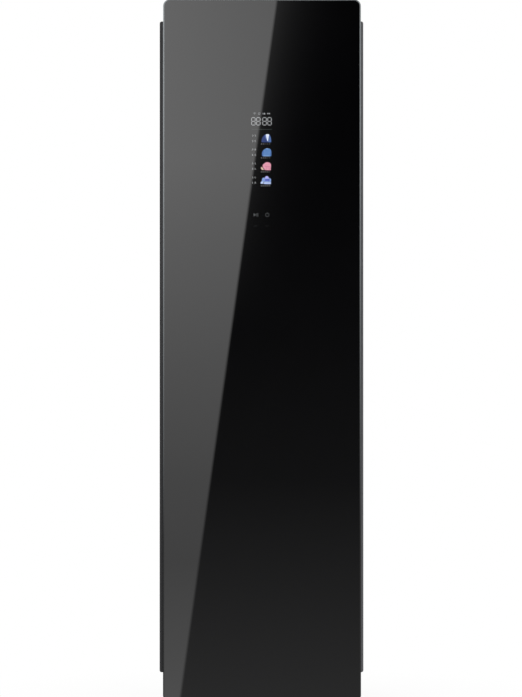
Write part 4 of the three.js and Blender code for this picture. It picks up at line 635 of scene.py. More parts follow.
# Compressor
# Two drawn steel shells are welded at a raised seam and enamelled a deep, glossy black. The foot
# plate stands on rubber grommets, a cover clips over the terminals, and two copper stubs leave
# the shell.
def rounded_slab(name, low, high, corner, axis="Z", steps=8):
    """A slab between two corner points, with its four corners rounded round an axis."""
    order = {"Z": (0, 1, 2), "Y": (2, 0, 1)}[axis]
    (u0, u1), (v0, v1), (w0, w1) = [(low[i], high[i]) for i in order]
    outline = []
    for u, v, start in ((u1 - corner, v1 - corner, 0), (u0 + corner, v1 - corner, 1),
                        (u0 + corner, v0 + corner, 2), (u1 - corner, v0 + corner, 3)):
        for i in range(steps + 1):
            angle = (start + i / steps) * math.pi / 2
            outline.append((u + corner * math.cos(angle), v + corner * math.sin(angle)))
    points = []
    for w in (w0, w1):
        for u, v in outline:
            place = dict(zip(order, (u, v, w)))
            points.append([place[0], place[1], place[2]])
    count = len(outline)
    sides = [(i, (i + 1) % count, count + (i + 1) % count, count + i) for i in range(count)]
    caps = [list(reversed(range(count))), list(range(count, 2 * count))]
    return mesh_from(name, points, sides + caps)


def add_to_part(node, name, meshes, material, edge):
    """Adds a piece of several shells that rides on the body of a part."""
    piece = link_object(name, joined_mesh(name, *meshes), material)
    round_edges(piece, edge)
    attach(piece, body_of[node])


COMPRESSOR_EDGE = 1.0 * MM
SHELL_PROFILE_MM = (
    (0, 0), (30, 0), (36, 3), (37, 9), (45, 12), (54, 17), (58.4, 25), (58.4, 88), (60, 90), (60, 95),
    (58.4, 97), (58.4, 162), (56.5, 170), (52, 177), (44, 183), (34, 187.5), (20, 190), (0, 190.7),
)
SHELL_RADIUS = 60 * MM
FOOT_PLATE_RISE = 4 * MM
FOOT_PLATE_THICK = 4 * MM
FOOT_PLATE_CORNER = 22 * MM
GROMMET_INSET = 13 * MM
GROMMET_PROFILE_MM = (
    (0, -3.6), (8, -3.6), (9, -2), (9, 0), (6.4, 0.6), (6.4, 3.4), (9, 4), (9, 7), (7.6, 8.6), (0, 8.6),
)
COVER_HALF = 18 * MM
COVER_CORNER = 5 * MM
STUB_SIZES_MM = ((4.8, 38), (3.2, 30))
STUB_SPOTS_MM = ((24, -20), (-26, 16))
STUB_DROP_SHARE = 0.25

enamel = grained(
    "black_stove_enamel", "121315", "1b1c1f", grain_mm=2.2, roughness=0.3, relief=(0.35, 0.06),
    optics={"IOR": PLASTIC_IOR},
)
copper = brushed_metal("drawn_copper_tube", "b3694a", "c98263", 0.8, (1, 1, 10), 0.3)

low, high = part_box("compressor")
shell_centre = ((low.x + high.x) / 2, high.y - SHELL_RADIUS, 0)
plate_y = high.y - 2 * SHELL_RADIUS
plate_z = low.z + FOOT_PLATE_RISE
cover_z = (low.z + high.z) / 2
take_place("compressor", joined_mesh(
    "compressor_shell",
    turned_mesh("compressor_can", in_metres(SHELL_PROFILE_MM, low.z), shell_centre, segments=80),
    rounded_slab(
        "compressor_foot_plate", (low.x, plate_y, plate_z), (high.x, high.y, plate_z + FOOT_PLATE_THICK),
        FOOT_PLATE_CORNER,
    ),
    rounded_slab(
        "terminal_cover", (shell_centre[0] - COVER_HALF, low.y, cover_z - COVER_HALF),
        (shell_centre[0] + COVER_HALF, shell_centre[1], cover_z + COVER_HALF), COVER_CORNER, axis="Y",
    ),
), enamel, COMPRESSOR_EDGE, segments=3)
add_to_part("compressor", "compressor_grommets", [
    turned_mesh("grommet", in_metres(GROMMET_PROFILE_MM, plate_z), (x, y, 0), segments=32)
    for x in (low.x + GROMMET_INSET, high.x - GROMMET_INSET)
    for y in (plate_y + GROMMET_INSET, high.y - GROMMET_INSET)
], hose_rubber, BUSH_EDGE)
stubs = []
for (radius, length), (across, deep) in zip(STUB_SIZES_MM, STUB_SPOTS_MM):
    stub = [(0, -length), (radius, -length), (radius, 0), (0, 0)]
    spot = (shell_centre[0] + across * MM, shell_centre[1] + deep * MM, 0)
    top = high.z - STUB_DROP_SHARE * length * MM
    stubs.append(turned_mesh("stub", in_metres(stub, top), spot, segments=28))
add_to_part("compressor", "compressor_tube_stubs", stubs, copper, BUSH_EDGE)


# Motor, pump and steam generator
# The blower's motor is a rolled steel can with a crimped lid. The pump is a moulded pot with
# two spigots. The steam generator is a ribbed aluminium casting, blasted to an even dull grey.
CAN_PROFILE_MM = (
    (0, 0), (9, 0), (10, 1), (10, 3), (27, 3), (30.6, 4.4), (32, 7), (32, 46), (31.2, 47.2), (31.2, 48.8),
    (32, 50), (32, 57.7), (4, 57.7),
)
POT_PROFILE_MM = (
    (0, 0), (25, 0), (25, 6), (23.6, 7), (23.6, 44), (25, 45), (25, 50), (23.6, 53), (19, 58), (16.6, 62),
    (0, 62),
)
SPIGOT_PROFILE_MM = (
    (0, 0), (4.6, 0), (4.6, 8), (6.2, 9), (4.9, 12), (6.2, 13), (4.9, 16), (6.0, 17), (4.2, 20.5), (0, 20.5),
)
SIDE_SPIGOT_STRETCH_SHARE = 1.3

can_metal = brushed_metal("turned_steel_can", "a3a6a9", "bec0c2", 0.8, (10, 1, 1), 0.3)
cast_metal = grained(
    "blasted_cast_aluminium", "8b8e90", "a5a8a9", grain_mm=1.1, roughness=(0.46, 0.62),
    relief=(0.5, 0.12), detail=4.0, grit=0.65, optics={"Metallic": 1.0},
)

low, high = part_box("blower_motor")
can_axis = (0, (low.y + high.y) / 2, (low.z + high.z) / 2)
can = in_metres(CAN_PROFILE_MM, low.x)
can += [(can[-1][0], high.x), (0, high.x)]
take_place("blower_motor", turned_mesh("motor_can", can, can_axis, "X", 72), can_metal, BUSH_EDGE)

low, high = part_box("water_pump")
(pot_radius, _), (_, pot_height) = POT_PROFILE_MM[1], POT_PROFILE_MM[-1]
pot_x, pot_y = (low.x + high.x) / 2, low.y + pot_radius * MM
spigot = in_metres(SPIGOT_PROFILE_MM)
spigot_reach = spigot[-1][1]
long_reach = SIDE_SPIGOT_STRETCH_SHARE * spigot_reach
long_spigot = [(wide, tall * SIDE_SPIGOT_STRETCH_SHARE) for wide, tall in spigot]
side_spigot = turned_mesh("side_spigot", long_spigot, (0, 0, 0), segments=32)
side_spigot.transform(
    Matrix.Translation((pot_x, high.y - long_reach, low.z + pot_height * MM / 2))
    @ Matrix.Rotation(-math.pi / 2, 4, "X")
)
take_place("water_pump", joined_mesh(
    "water_pump_pot", turned_mesh("pot", in_metres(POT_PROFILE_MM, low.z), (pot_x, pot_y, 0)),
    turned_mesh("upright_spigot", spigot, (pot_x, pot_y, high.z - spigot_reach), segments=32), side_spigot,
), dark_plastic, BUSH_EDGE)

refine("steam_generator", cast_metal, HOUSING_EDGE)


# Tank bay and water tanks
# The bay is moulded in one piece with a divider and two runners under each tank. The tanks are
# blow-moulded in tinted clear plastic, and each has a dark lid whose front lip is the pull.
def tinted_clear_plastic(name, low, high):
    """Tinted polycarbonate: clear with a soft haze, darker where the wall is seen edge on."""
    return grained(
        name, low, high, CLEAR_HAZE_MM, (0.1, 0.24), relief=(0.2, 0.4), detail=3.0,
        optics={"IOR": 1.58, "Transmission Weight": 0.72},
    )


CLEAR_HAZE_MM = 26
BAY_EDGE = 0.6 * MM
TANK_EDGE = 0.9 * MM
LID_EDGE = 1.0 * MM
TANK_BEND = 1.2 * MM
TICK_INSET = 31 * MM
TICK_RISE = 32 * MM

bay_plastic = moulded_plastic("moulded_light_grey_pp", "bcc0c2", "c8cbcd", grain_mm=1.0, roughness=0.44)
scale_ink = moulded_plastic("white_pad_print_ink", "cfd2d4", "dcdedf", grain_mm=0.6, roughness=0.5)
tank_plastics = {
    "supply_tank": tinted_clear_plastic("tinted_clear_polycarbonate", "8fa3b4", "a6b7c4"),
    "drain_tank": tinted_clear_plastic("smoked_clear_polycarbonate", "5c636b", "6e757d"),
}

tick_sizes = {
    "Tick Count": 13, "Tick Pitch": 12.5 * MM, "Tick Width": 9.0 * MM, "Tick Height": 1.0 * MM,
    "Tick Relief": 0.3 * MM, "Long Share": 1.8, "Long Every": 4,
}
tick_tree, size = sized_tree("level_ticks", tick_sizes)
tick_line = add_node(tick_tree, "GeometryNodeMeshLine", {
    "Count": size["Tick Count"], "Offset": (0, 0, size["Tick Pitch"]),
})
order = add_node(tick_tree, "GeometryNodeInputIndex")
within = add_node(tick_tree, "ShaderNodeMath", {0: order, 1: size["Long Every"]}, operation="MODULO")
is_short = add_node(tick_tree, "ShaderNodeMath", {0: within, 1: 0.5}, operation="GREATER_THAN")
stretch = add_node(tick_tree, "ShaderNodeMapRange", {"Value": is_short, "To Min": size["Long Share"]})
tick = add_node(tick_tree, "GeometryNodeMeshCube", {
    "Size": (size["Tick Width"], size["Tick Relief"], size["Tick Height"]),
})
ticks = add_node(tick_tree, "GeometryNodeInstanceOnPoints", {
    "Points": tick_line, "Instance": tick, "Scale": (stretch, 1, 1),
})
end_tree(tick_tree, size, add_node(tick_tree, "GeometryNodeInstanceOnPoints", {
    "Points": size["Geometry"], "Instance": ticks,
}))

refine("tank_bay", bay_plastic, BAY_EDGE)
for node, tank_plastic in tank_plastics.items():
    refine(node, tank_plastic, TANK_EDGE, segments=3, bend=TANK_BEND)
    refine(f"{node}_lid", dark_plastic, LID_EDGE, segments=3, bend=TANK_BEND)
    low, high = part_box(node)
    first_tick = mesh_from(f"{node}_first_tick", [(low.x + TICK_INSET, low.y, low.z + TICK_RISE)])
    grown_piece(f"{node}_level_ticks", first_tick, tick_tree, tick_sizes, scale_ink, node)


# Chamber liners, floor and ceiling
# The chamber is lined with pale moulded panels whose upright beads stiffen them and keep
# clothes off the wall. A foam jacket stands behind them, and the shelf lies on two ledges.
def cellular_foam(name, low, high, cell_mm):
    """Cut rigid foam: pale yellow and matt, with open cells drawn large enough to show."""
    material, tree = empty_material(name)
    cells = add_node(tree, "ShaderNodeTexVoronoi", {"Vector": pattern_space(tree, cell_mm)})
    return end_material(
        material, tree, (cells, low, high), 0.95, relief=(cells, 0.6, 0.5), optics={"IOR": 1.45},
    )


def opal_acrylic(name, low, high, rib_mm):
    """Opal acrylic over a row of lamps: milky, finely ribbed and evenly lit from behind."""
    material, tree = empty_material(name)
    ribs = add_node(tree, "ShaderNodeTexWave", {
        "Vector": pattern_space(tree, rib_mm), "Scale": 0.5, "Distortion": 0.0,
    }, wave_type="BANDS", bands_direction="X").outputs["Fac"]
    return end_material(material, tree, (ribs, low, high), 0.25, relief=(ribs, 0.5, 0.3), optics={
        "IOR": 1.49, "Subsurface Weight": 0.3, "Subsurface Radius": (rib_mm * MM,) * 3,
        "Emission Color": colour("fff4e2"), "Emission Strength": LENS_GLOW,
    })


LENS_GLOW = 5.0
LINER_EDGE = 0.8 * MM
SHELF_EDGE = 0.7 * MM
FILTER_EDGE = 0.4 * MM
SHELF_BEND = 1.2 * MM
FILTER_BEND = 0.8 * MM
FOAM_EDGE = 1.5 * MM
LENS_EDGE = 0.9 * MM

liner_plastic = moulded_plastic("moulded_pale_grey_abs", "c3c6c8", "cdd0d1", grain_mm=1.1, roughness=0.4)
shelf_plastic = moulded_plastic("moulded_grey_abs_shelf", "a9acae", "b4b7b8", grain_mm=1.0, roughness=0.42)
filter_plastic = moulded_plastic("moulded_slate_pp", "51565c", "5d6268", grain_mm=0.9, roughness=0.4)
foam = cellular_foam("rigid_polyurethane_foam", "cfc79f", "ddd7b8", cell_mm=1.6)
lens_plastic = opal_acrylic("opal_acrylic_lens", "e4e3dc", "f0efe9", rib_mm=4.0)

for node in ("left_liner", "right_liner", "rear_liner", "floor_panel", "ceiling_panel"):
    refine(node, liner_plastic, LINER_EDGE)
refine("chamber_insulation", foam, FOAM_EDGE)
refine("chamber_lamp", lens_plastic, LENS_EDGE, segments=3)
refine("steam_nozzle", bush_plastic, LINER_EDGE)
refine("shelf", shelf_plastic, SHELF_EDGE, bend=SHELF_BEND)
for node in ("lint_filter", "aroma_cartridge"):
    refine(node, filter_plastic, FILTER_EDGE, bend=FILTER_BEND)


# Lint net
# A net of smooth, satin nylon yarn is welded over the bars of the filter basket to hold fluff.
# Its yarn and its gaps are drawn wider than those of a real net, so that they show.
NET_INSET = 8.0 * MM
NET_RISE = 3.0 * MM

net_nylon = grained(
    "woven_nylon_net", "8d949b", "a4abb1", grain_mm=6, roughness=0.45,
    optics={"IOR": 1.53, "Sheen Weight": 0.2},
)

low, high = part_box("lint_filter")
net_sizes = {
    "Net Width": high.x - low.x - 2 * NET_INSET, "Net Depth": high.y - low.y - 2 * NET_INSET,
    "Long Strands": 25, "Cross Strands": 72, "Strand": 0.55 * MM,
}
net_tree, size = sized_tree("lint_net", net_sizes)
families = []
for count, row_axis, span, strand_x, strand_y in (
    (size["Long Strands"], 1, size["Net Depth"], size["Net Width"], size["Strand"]),
    (size["Cross Strands"], 0, size["Net Width"], size["Strand"], size["Net Depth"]),
):
    start, end = [
        add_node(net_tree, "ShaderNodeCombineXYZ", {
            row_axis: add_node(net_tree, "ShaderNodeMath", {0: span, 1: share}, operation="MULTIPLY"),
        }) for share in (-0.5, 0.5)
    ]
    row = add_node(net_tree, "GeometryNodeMeshLine", {
        "Count": count, "Start Location": start, "Offset": end,
    }, mode="END_POINTS")
    strand = add_node(net_tree, "GeometryNodeMeshCube", {"Size": (strand_x, strand_y, size["Strand"])})
    families.append(add_node(net_tree, "GeometryNodeInstanceOnPoints", {"Points": row, "Instance": strand}))
net = add_node(net_tree, "GeometryNodeJoinGeometry", {"Geometry": families})
end_tree(net_tree, size, add_node(net_tree, "GeometryNodeInstanceOnPoints", {
    "Points": size["Geometry"], "Instance": net,
}))
net_middle = ((low.x + high.x) / 2, (low.y + high.y) / 2, low.z + NET_RISE)
grown_piece(
    "lint_net", mesh_from("lint_net_middle", [net_middle]), net_tree, net_sizes, net_nylon, "lint_filter",
)


# Hanger drive, carriage and rail
# A gearmotor above the ceiling shakes a moulded carriage, whose two arms come down through the
# ceiling and hold a steel rail that is turned with a groove for each hanger.
CARRIAGE_EDGE = 0.8 * MM
RAIL_EDGE = 0.5 * MM

rail_steel = brushed_metal("turned_stainless_steel", "b9bbbd", "d0d1d2", 0.5, (0.6, 12, 12), 0.22)

refine("hanger_drive", dark_plastic, CARRIAGE_EDGE)
refine("hanger_carriage", dark_plastic, CARRIAGE_EDGE)
refine("hanger_rail", rail_steel, RAIL_EDGE)


# Hangers
# Each hanger is moulded in glass-filled nylon: full shoulders with a channel along both faces,
# a collar at the neck, a round hook, and soft ribs that keep a garment from sliding off.
HANGER_EDGE = 0.5 * MM
HANGER_HALF = 205 * MM
NECK_DROP = 58 * MM
SHOULDER_DROP = 62 * MM
SHOULDER_ROOT = 15 * MM
SHOULDER_TIP = 10 * MM
HANGER_THICK = 14 * MM
BEND_POWER = 1.7
SLOPE_STEP_SHARE = 0.001
SECTION_POWER = 2 / 2.8
SECTION_STEPS = 28
SHOULDER_STEPS = 44
CHANNEL_SHARE = 0.2
CHANNEL_SPREAD = 0.3
CHANNEL_END_SHARE = 0.93
ROUND_FROM_SHARE = 0.972
TIP_SHARE = 0.02
HOOK_RADIUS = 10.8 * MM
HOOK_WIRE = 3.5 * MM
HOOK_START = -55
HOOK_END = 200
HOOK_STEPS = 14
HOOK_SHANK = 24 * MM
HOOK_SINK = 4 * MM
COLLAR_PROFILE_MM = ((0, -3), (6.4, -3), (6.4, 4.5), (5.2, 7), (5.2, 11), (3.9, 14), (0, 14))
GRIP_RIB_SHARES = [0.42 + 0.05 * i for i in range(10)]
GRIP_RIB_SINK = 0.35 * MM

hanger_plastic = moulded_plastic("moulded_graphite_nylon", "303135", "3c3d41", grain_mm=0.8, roughness=0.36)
rib_rubber = soft_rubber("overmoulded_grip_rubber", "222326", "2a2b2e")
rail_low, rail_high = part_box("hanger_rail")
rail_y = (rail_low.y + rail_high.y) / 2
rail_z = (rail_low.z + rail_high.z) / 2
neck_z = rail_z - NECK_DROP


def shoulder_line(share):
    """The middle of the shoulders at a share of their reach, and the height there."""
    middle = Vector((0, rail_y + HANGER_HALF * share, neck_z - SHOULDER_DROP * abs(share) ** BEND_POWER))
    return middle, SHOULDER_ROOT + (SHOULDER_TIP - SHOULDER_ROOT) * abs(share)


def shoulder_mesh(name, middle_x):
    """Both shoulders as one lofted bar with channelled sides and rounded ends."""
    points, faces = [], []
    for step in range(2 * SHOULDER_STEPS + 1):
        share = math.sin((step / SHOULDER_STEPS - 1) * math.pi / 2)
        middle, height = shoulder_line(share)
        ahead, behind = [shoulder_line(share + side * SLOPE_STEP_SHARE)[0] for side in (1, -1)]
        upward = Vector((1, 0, 0)).cross((ahead - behind).normalized())
        past = max(0.0, (abs(share) - ROUND_FROM_SHARE) / (1 - ROUND_FROM_SHARE))
        full = math.sqrt(max(0.0, 1 - past ** 2)) if past < 1 else TIP_SHARE
        fading = (CHANNEL_END_SHARE - abs(share)) / (1 - CHANNEL_END_SHARE)
        channel = CHANNEL_SHARE * min(1.0, max(0.0, fading))
        for i in range(SECTION_STEPS):
            angle = math.tau * i / SECTION_STEPS
            sides = [math.copysign(abs(f) ** SECTION_POWER, f) for f in (math.cos(angle), math.sin(angle))]
            hollow = 1 - channel * math.exp(-((math.sin(angle) / CHANNEL_SPREAD) ** 2))
            points.append(
                Vector((middle_x, 0, 0)) + middle + upward * (sides[1] * full * height / 2)
                + Vector((sides[0] * hollow * full * HANGER_THICK / 2, 0, 0))
            )
    for step in range(2 * SHOULDER_STEPS):
        for i in range(SECTION_STEPS):
            j = (i + 1) % SECTION_STEPS
            ring, after = step * SECTION_STEPS, (step + 1) * SECTION_STEPS
            faces.append((ring + i, after + i, after + j, ring + j))
    last = 2 * SHOULDER_STEPS * SECTION_STEPS
    faces.append(list(range(SECTION_STEPS)))
    faces.append([last + i for i in reversed(range(SECTION_STEPS))])
    return mesh_from(name, points, faces)


def hook_mesh(name, middle_x):
    """The round wire of a hook, from inside the neck up and over the rail."""
    curve = bpy.data.curves.new(name, "CURVE")
    curve.dimensions = "3D"
    curve.bevel_depth = HOOK_WIRE
    curve.bevel_resolution = 5
    curve.resolution_u = 4
    curve.use_fill_caps = True
    shank_z = rail_z - HOOK_SHANK
    route = [(rail_y, neck_z - HOOK_SINK), (rail_y, (neck_z + shank_z) / 2), (rail_y, shank_z)]
    for step in range(HOOK_STEPS + 1):
        angle = math.radians(HOOK_START + (HOOK_END - HOOK_START) * step / HOOK_STEPS)
        route.append((rail_y + HOOK_RADIUS * math.cos(angle), rail_z + HOOK_RADIUS * math.sin(angle)))
    wire = curve.splines.new("BEZIER")
    wire.bezier_points.add(len(route) - 1)
    for point, (y, z) in zip(wire.bezier_points, route):
        point.co = (middle_x, y, z)
        point.handle_left_type = point.handle_right_type = "AUTO"
    holder = link_object(name, curve)
    mesh = made_real(holder)
    bpy.data.objects.remove(holder)
    return mesh


grip_rib_sizes = {"Rib Radius": 0.9 * MM, "Rib Length": 8.4 * MM, "Rib Facets": 12}
grip_tree, size = sized_tree("shoulder_grip_ribs", grip_rib_sizes)
grip_rib = add_node(grip_tree, "GeometryNodeMeshCylinder", {
    "Vertices": size["Rib Facets"], "Radius": size["Rib Radius"], "Depth": size["Rib Length"],
})
grip_rib = add_node(grip_tree, "GeometryNodeTransform", {
    "Geometry": grip_rib, "Rotation": (0, math.pi / 2, 0),
})
end_tree(grip_tree, size, add_node(grip_tree, "GeometryNodeInstanceOnPoints", {
    "Points": size["Geometry"], "Instance": grip_rib,
}))

for node in ("hanger_1", "hanger_2", "hanger_3"):
    low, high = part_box(node)
    middle_x = (low.x + high.x) / 2
    collar = in_metres(COLLAR_PROFILE_MM, neck_z + SHOULDER_ROOT / 2)
    take_place(node, joined_mesh(
        f"{node}_moulding", shoulder_mesh(f"{node}_shoulders", middle_x),
        turned_mesh(f"{node}_collar", collar, (middle_x, rail_y, 0), segments=40),
        hook_mesh(f"{node}_hook", middle_x),
    ), hanger_plastic, HANGER_EDGE)
    rib_places = []
    for share in GRIP_RIB_SHARES:
        for side in (-1, 1):
            middle, height = shoulder_line(side * share)
            rib_places.append(middle + Vector((middle_x, 0, height / 2 - GRIP_RIB_SINK)))
    grown_piece(
        f"{node}_grip_ribs", mesh_from(f"{node}_rib_places", rib_places), grip_tree, grip_rib_sizes,
        rib_rubber, node,
    )


# Cabinet shell
# The sides are folded sheet steel with a dark powder coat, a satin skin with a slight orange
# peel, and steel rails hold them at the front. The back is a plain zinc-coated sheet with two
# pressed swages and a row of screws all round.
def add_screws(name, places, outward, node, **changes):
    """Screws at places on a part, with their heads facing outwards."""
    mesh = mesh_from(f"{name}_places", places)
    facing = mesh.attributes.new("outward", "FLOAT_VECTOR", "POINT")
    for mark in facing.data:
        mark.vector = outward
    grown_piece(name, mesh, screw_tree, {**screw_sizes, **changes}, screw_zinc, node)


PANEL_EDGE = 0.5 * MM
GLAND_EDGE = 0.5 * MM
SCREW_FACETS = 24
SKIRT_SHARES = (1.0, 0.95, 0.55, 0.0)
CROWN_SHARES = (0.9, 0.62, 0.6, 0.4)
PANEL_SCREW_INSET = 8.5 * MM
PANEL_SCREW_COLUMN = 8
PANEL_SCREW_ROW = 3
PANEL_SCREW_END_GAP = 38 * MM
TOP_SCREW_SHARE = 0.74
TOP_SCREW_RISE = 7.6 * MM

body_paint = grained(
    "powder_coated_dark_steel", "303135", "38393d", grain_mm=1.3, roughness=(0.4, 0.52),
    relief=(0.5, 0.04), drift_mm=320, grit=0.55, optics={"Metallic": 0.15, "IOR": PLASTIC_IOR},
)
screw_zinc = brushed_metal("bright_zinc_plated_screws", "a9abad", "c6c8ca", 0.5, (6, 1, 1), 0.3)

screw_sizes = {
    "Head Radius": 4.2 * MM, "Head Height": 2.5 * MM, "Recess Length": 4.8 * MM,
    "Recess Width": 1.1 * MM, "Recess Depth": 1.4 * MM, "Turn Seed": 5,
}
screw_tree, size = sized_tree("cross_recess_screws", screw_sizes)
radius, height = size["Head Radius"], size["Head Height"]
layers = []
for shares in (SKIRT_SHARES, CROWN_SHARES):
    bottom, top, tall, rise = [
        add_node(screw_tree, "ShaderNodeMath", {0: whole, 1: share}, operation="MULTIPLY")
        for whole, share in zip((radius, radius, height, height), shares)
    ]
    layer = add_node(screw_tree, "GeometryNodeMeshCone", {
        "Vertices": SCREW_FACETS, "Radius Bottom": bottom, "Radius Top": top, "Depth": tall,
    })
    layers.append(add_node(screw_tree, "GeometryNodeTransform", {
        "Geometry": layer, "Translation": (0, 0, rise),
    }))
head = add_node(screw_tree, "GeometryNodeMeshBoolean", {"Mesh 2": layers}, operation="UNION", solver="EXACT")
cut_depth = add_node(screw_tree, "ShaderNodeMath", {0: size["Recess Depth"], 1: 2}, operation="MULTIPLY")
cuts = []
for long, wide in (("Recess Length", "Recess Width"), ("Recess Width", "Recess Length")):
    cut = add_node(screw_tree, "GeometryNodeMeshCube", {"Size": (size[long], size[wide], cut_depth)})
    cuts.append(add_node(screw_tree, "GeometryNodeTransform", {
        "Geometry": cut, "Translation": (0, 0, height),
    }))
screw = add_node(screw_tree, "GeometryNodeMeshBoolean", {
    "Mesh 1": head, "Mesh 2": cuts,
}, operation="DIFFERENCE", solver="EXACT")
outward = add_node(
    screw_tree, "GeometryNodeInputNamedAttribute", {"Name": "outward"}, data_type="FLOAT_VECTOR",
)
facing = add_node(screw_tree, "FunctionNodeAlignRotationToVector", {"Vector": outward}, axis="Z")
turn = add_node(screw_tree, "FunctionNodeRandomValue", {
    "Min_001": 0.0, "Max_001": math.pi / 2, "Seed": size["Turn Seed"],
}, data_type="FLOAT")
twist = add_node(screw_tree, "FunctionNodeAxisAngleToRotation", {"Axis": (0, 0, 1), "Angle": turn})
seated = add_node(screw_tree, "FunctionNodeRotateRotation", {
    "Rotation": facing, "Rotate By": twist,
}, rotation_space="LOCAL")
end_tree(screw_tree, size, add_node(screw_tree, "GeometryNodeInstanceOnPoints", {
    "Points": size["Geometry"], "Instance": screw, "Rotation": seated,
}))

for node in ("left_side_panel", "right_side_panel", "top_front_rail", "middle_front_rail",
             "lower_front_rail", "top_cover"):
    refine(node, body_paint, PANEL_EDGE)
refine("back_panel", zinc_sheet, PANEL_EDGE)
refine("cable_gland", dark_plastic, GLAND_EDGE)

low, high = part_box("back_panel")
screw_places = []
for side in (low.x + PANEL_SCREW_INSET, high.x - PANEL_SCREW_INSET):
    for i in range(PANEL_SCREW_COLUMN):
        share = i / (PANEL_SCREW_COLUMN - 1)
        rise = low.z + PANEL_SCREW_END_GAP + share * (high.z - low.z - 2 * PANEL_SCREW_END_GAP)
        screw_places.append((side, high.y, rise))
for rise in (low.z + PANEL_SCREW_INSET, high.z - PANEL_SCREW_INSET):
    for i in range(PANEL_SCREW_ROW):
        share = (i + 1) / (PANEL_SCREW_ROW + 1)
        screw_places.append((low.x + share * (high.x - low.x), high.y, rise))
add_screws("back_panel_screws", screw_places, (0, 1, 0), "back_panel")
low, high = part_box("top_cover")
screw_places = [(side * high.x * TOP_SCREW_SHARE, high.y, high.z - TOP_SCREW_RISE) for side in (-1, 0, 1)]
add_screws("top_cover_screws", screw_places, (0, 1, 0), "top_cover")


# Louvred rear cover
# A shallow painted tray over the machine space. Each slot has a vane that is pressed inwards
# from its upper edge, and the screws sit in six pressed cups.
SLOT_ROWS = 11
COLUMN_PITCH_SHARE = 0.46
VANE_LENGTH_SHARE = 0.384
CUP_END_ROOM = 14 * MM
CUP_SIDE_INSET = 6.8 * MM
CUP_SCREW_SHARE = 0.86
CUP_SINK = 0.1 * MM

low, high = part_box("rear_cover")
cover_sizes = {
    "Slot Rows": SLOT_ROWS, "Slot Columns": 2, "Slot Pitch": (high.z - low.z) / (SLOT_ROWS + 1),
    "Column Pitch": (high.x - low.x) * COLUMN_PITCH_SHARE,
    "Vane Length": (high.x - low.x) * VANE_LENGTH_SHARE, "Vane Depth": 9.0 * MM,
    "Vane Thickness": 1.0 * MM, "Vane Tilt": math.radians(42), "Slot Half Height": 3.5 * MM,
    "Face Place": high.y - CUP_SINK, "Cover Middle": (low.z + high.z) / 2, "Cup Rows": 3,
    "Cup Row Pitch": (high.z - low.z) / 2 - CUP_END_ROOM, "Cup Spread": 2 * (high.x - CUP_SIDE_INSET),
    "Cup Radius": 5.0 * MM, "Cup Wall": 0.8 * MM, "Cup Depth": 3.3 * MM, "Cup Facets": 32,
}
cover_tree, size = sized_tree("louvred_cover", cover_sizes)
face_turn = (math.pi / 2, 0, 0)


def copies_on_cover(shape, columns, rows, width, row_pitch):
    """Real copies of a shape in a grid of columns and rows on the cover's outer face."""
    gaps = add_node(cover_tree, "ShaderNodeMath", {0: rows, 1: 1}, operation="SUBTRACT")
    tall = add_node(cover_tree, "ShaderNodeMath", {0: gaps, 1: row_pitch}, operation="MULTIPLY")
    grid = add_node(cover_tree, "GeometryNodeMeshGrid", {
        "Size X": width, "Size Y": tall, "Vertices X": columns, "Vertices Y": rows,
    })
    places = add_node(cover_tree, "GeometryNodeTransform", {
        "Geometry": grid, "Translation": (0, size["Face Place"], size["Cover Middle"]),
        "Rotation": face_turn,
    })
    copies = add_node(cover_tree, "GeometryNodeInstanceOnPoints", {"Points": places, "Instance": shape})
    return add_node(cover_tree, "GeometryNodeRealizeInstances", {"Geometry": copies})


def copies_on_cups(shape):
    """Real copies of a shape where the cups are."""
    return copies_on_cover(shape, 2, size["Cup Rows"], size["Cup Spread"], size["Cup Row Pitch"])


def rod_into_cover(radius, rise=0.0):
    """A cylinder as deep as a cup, laid along the cover's depth and moved along it."""
    rod = add_node(cover_tree, "GeometryNodeMeshCylinder", {
        "Vertices": size["Cup Facets"], "Radius": radius, "Depth": size["Cup Depth"],
    })
    return add_node(cover_tree, "GeometryNodeTransform", {
        "Geometry": rod, "Translation": (0, rise, 0), "Rotation": face_turn,
    })


half_depth, half_vane, half_sheet, half_wall = [
    add_node(cover_tree, "ShaderNodeMath", {0: size[label], 1: share}, operation="MULTIPLY")
    for label, share in (("Cup Depth", -0.5), ("Vane Depth", -0.5), ("Vane Thickness", -0.5),
                         ("Cup Wall", 0.5))
]
inner_radius = add_node(cover_tree, "ShaderNodeMath", {
    0: size["Cup Radius"], 1: size["Cup Wall"],
}, operation="SUBTRACT")
bore_radius = add_node(cover_tree, "ShaderNodeMath", {0: inner_radius, 1: half_wall}, operation="ADD")
floor_rise = add_node(cover_tree, "ShaderNodeMath", {0: half_depth, 1: size["Cup Wall"]}, operation="ADD")
cup = add_node(cover_tree, "GeometryNodeMeshBoolean", {
    "Mesh 1": rod_into_cover(size["Cup Radius"], half_depth),
    "Mesh 2": rod_into_cover(inner_radius, floor_rise),
}, operation="DIFFERENCE", solver="EXACT")
sheet = add_node(cover_tree, "GeometryNodeMeshBoolean", {
    "Mesh 1": size["Geometry"], "Mesh 2": copies_on_cups(rod_into_cover(bore_radius)),
}, operation="DIFFERENCE", solver="EXACT")
vane = add_node(cover_tree, "GeometryNodeMeshCube", {
    "Size": (size["Vane Length"], size["Vane Depth"], size["Vane Thickness"]),
})
vane = add_node(cover_tree, "GeometryNodeTransform", {"Geometry": vane, "Translation": (0, half_vane, 0)})
vane = add_node(cover_tree, "GeometryNodeTransform", {
    "Geometry": vane, "Translation": (0, half_sheet, size["Slot Half Height"]),
    "Rotation": (size["Vane Tilt"], 0, 0),
})
vanes = copies_on_cover(
    vane, size["Slot Columns"], size["Slot Rows"], size["Column Pitch"], size["Slot Pitch"],
)
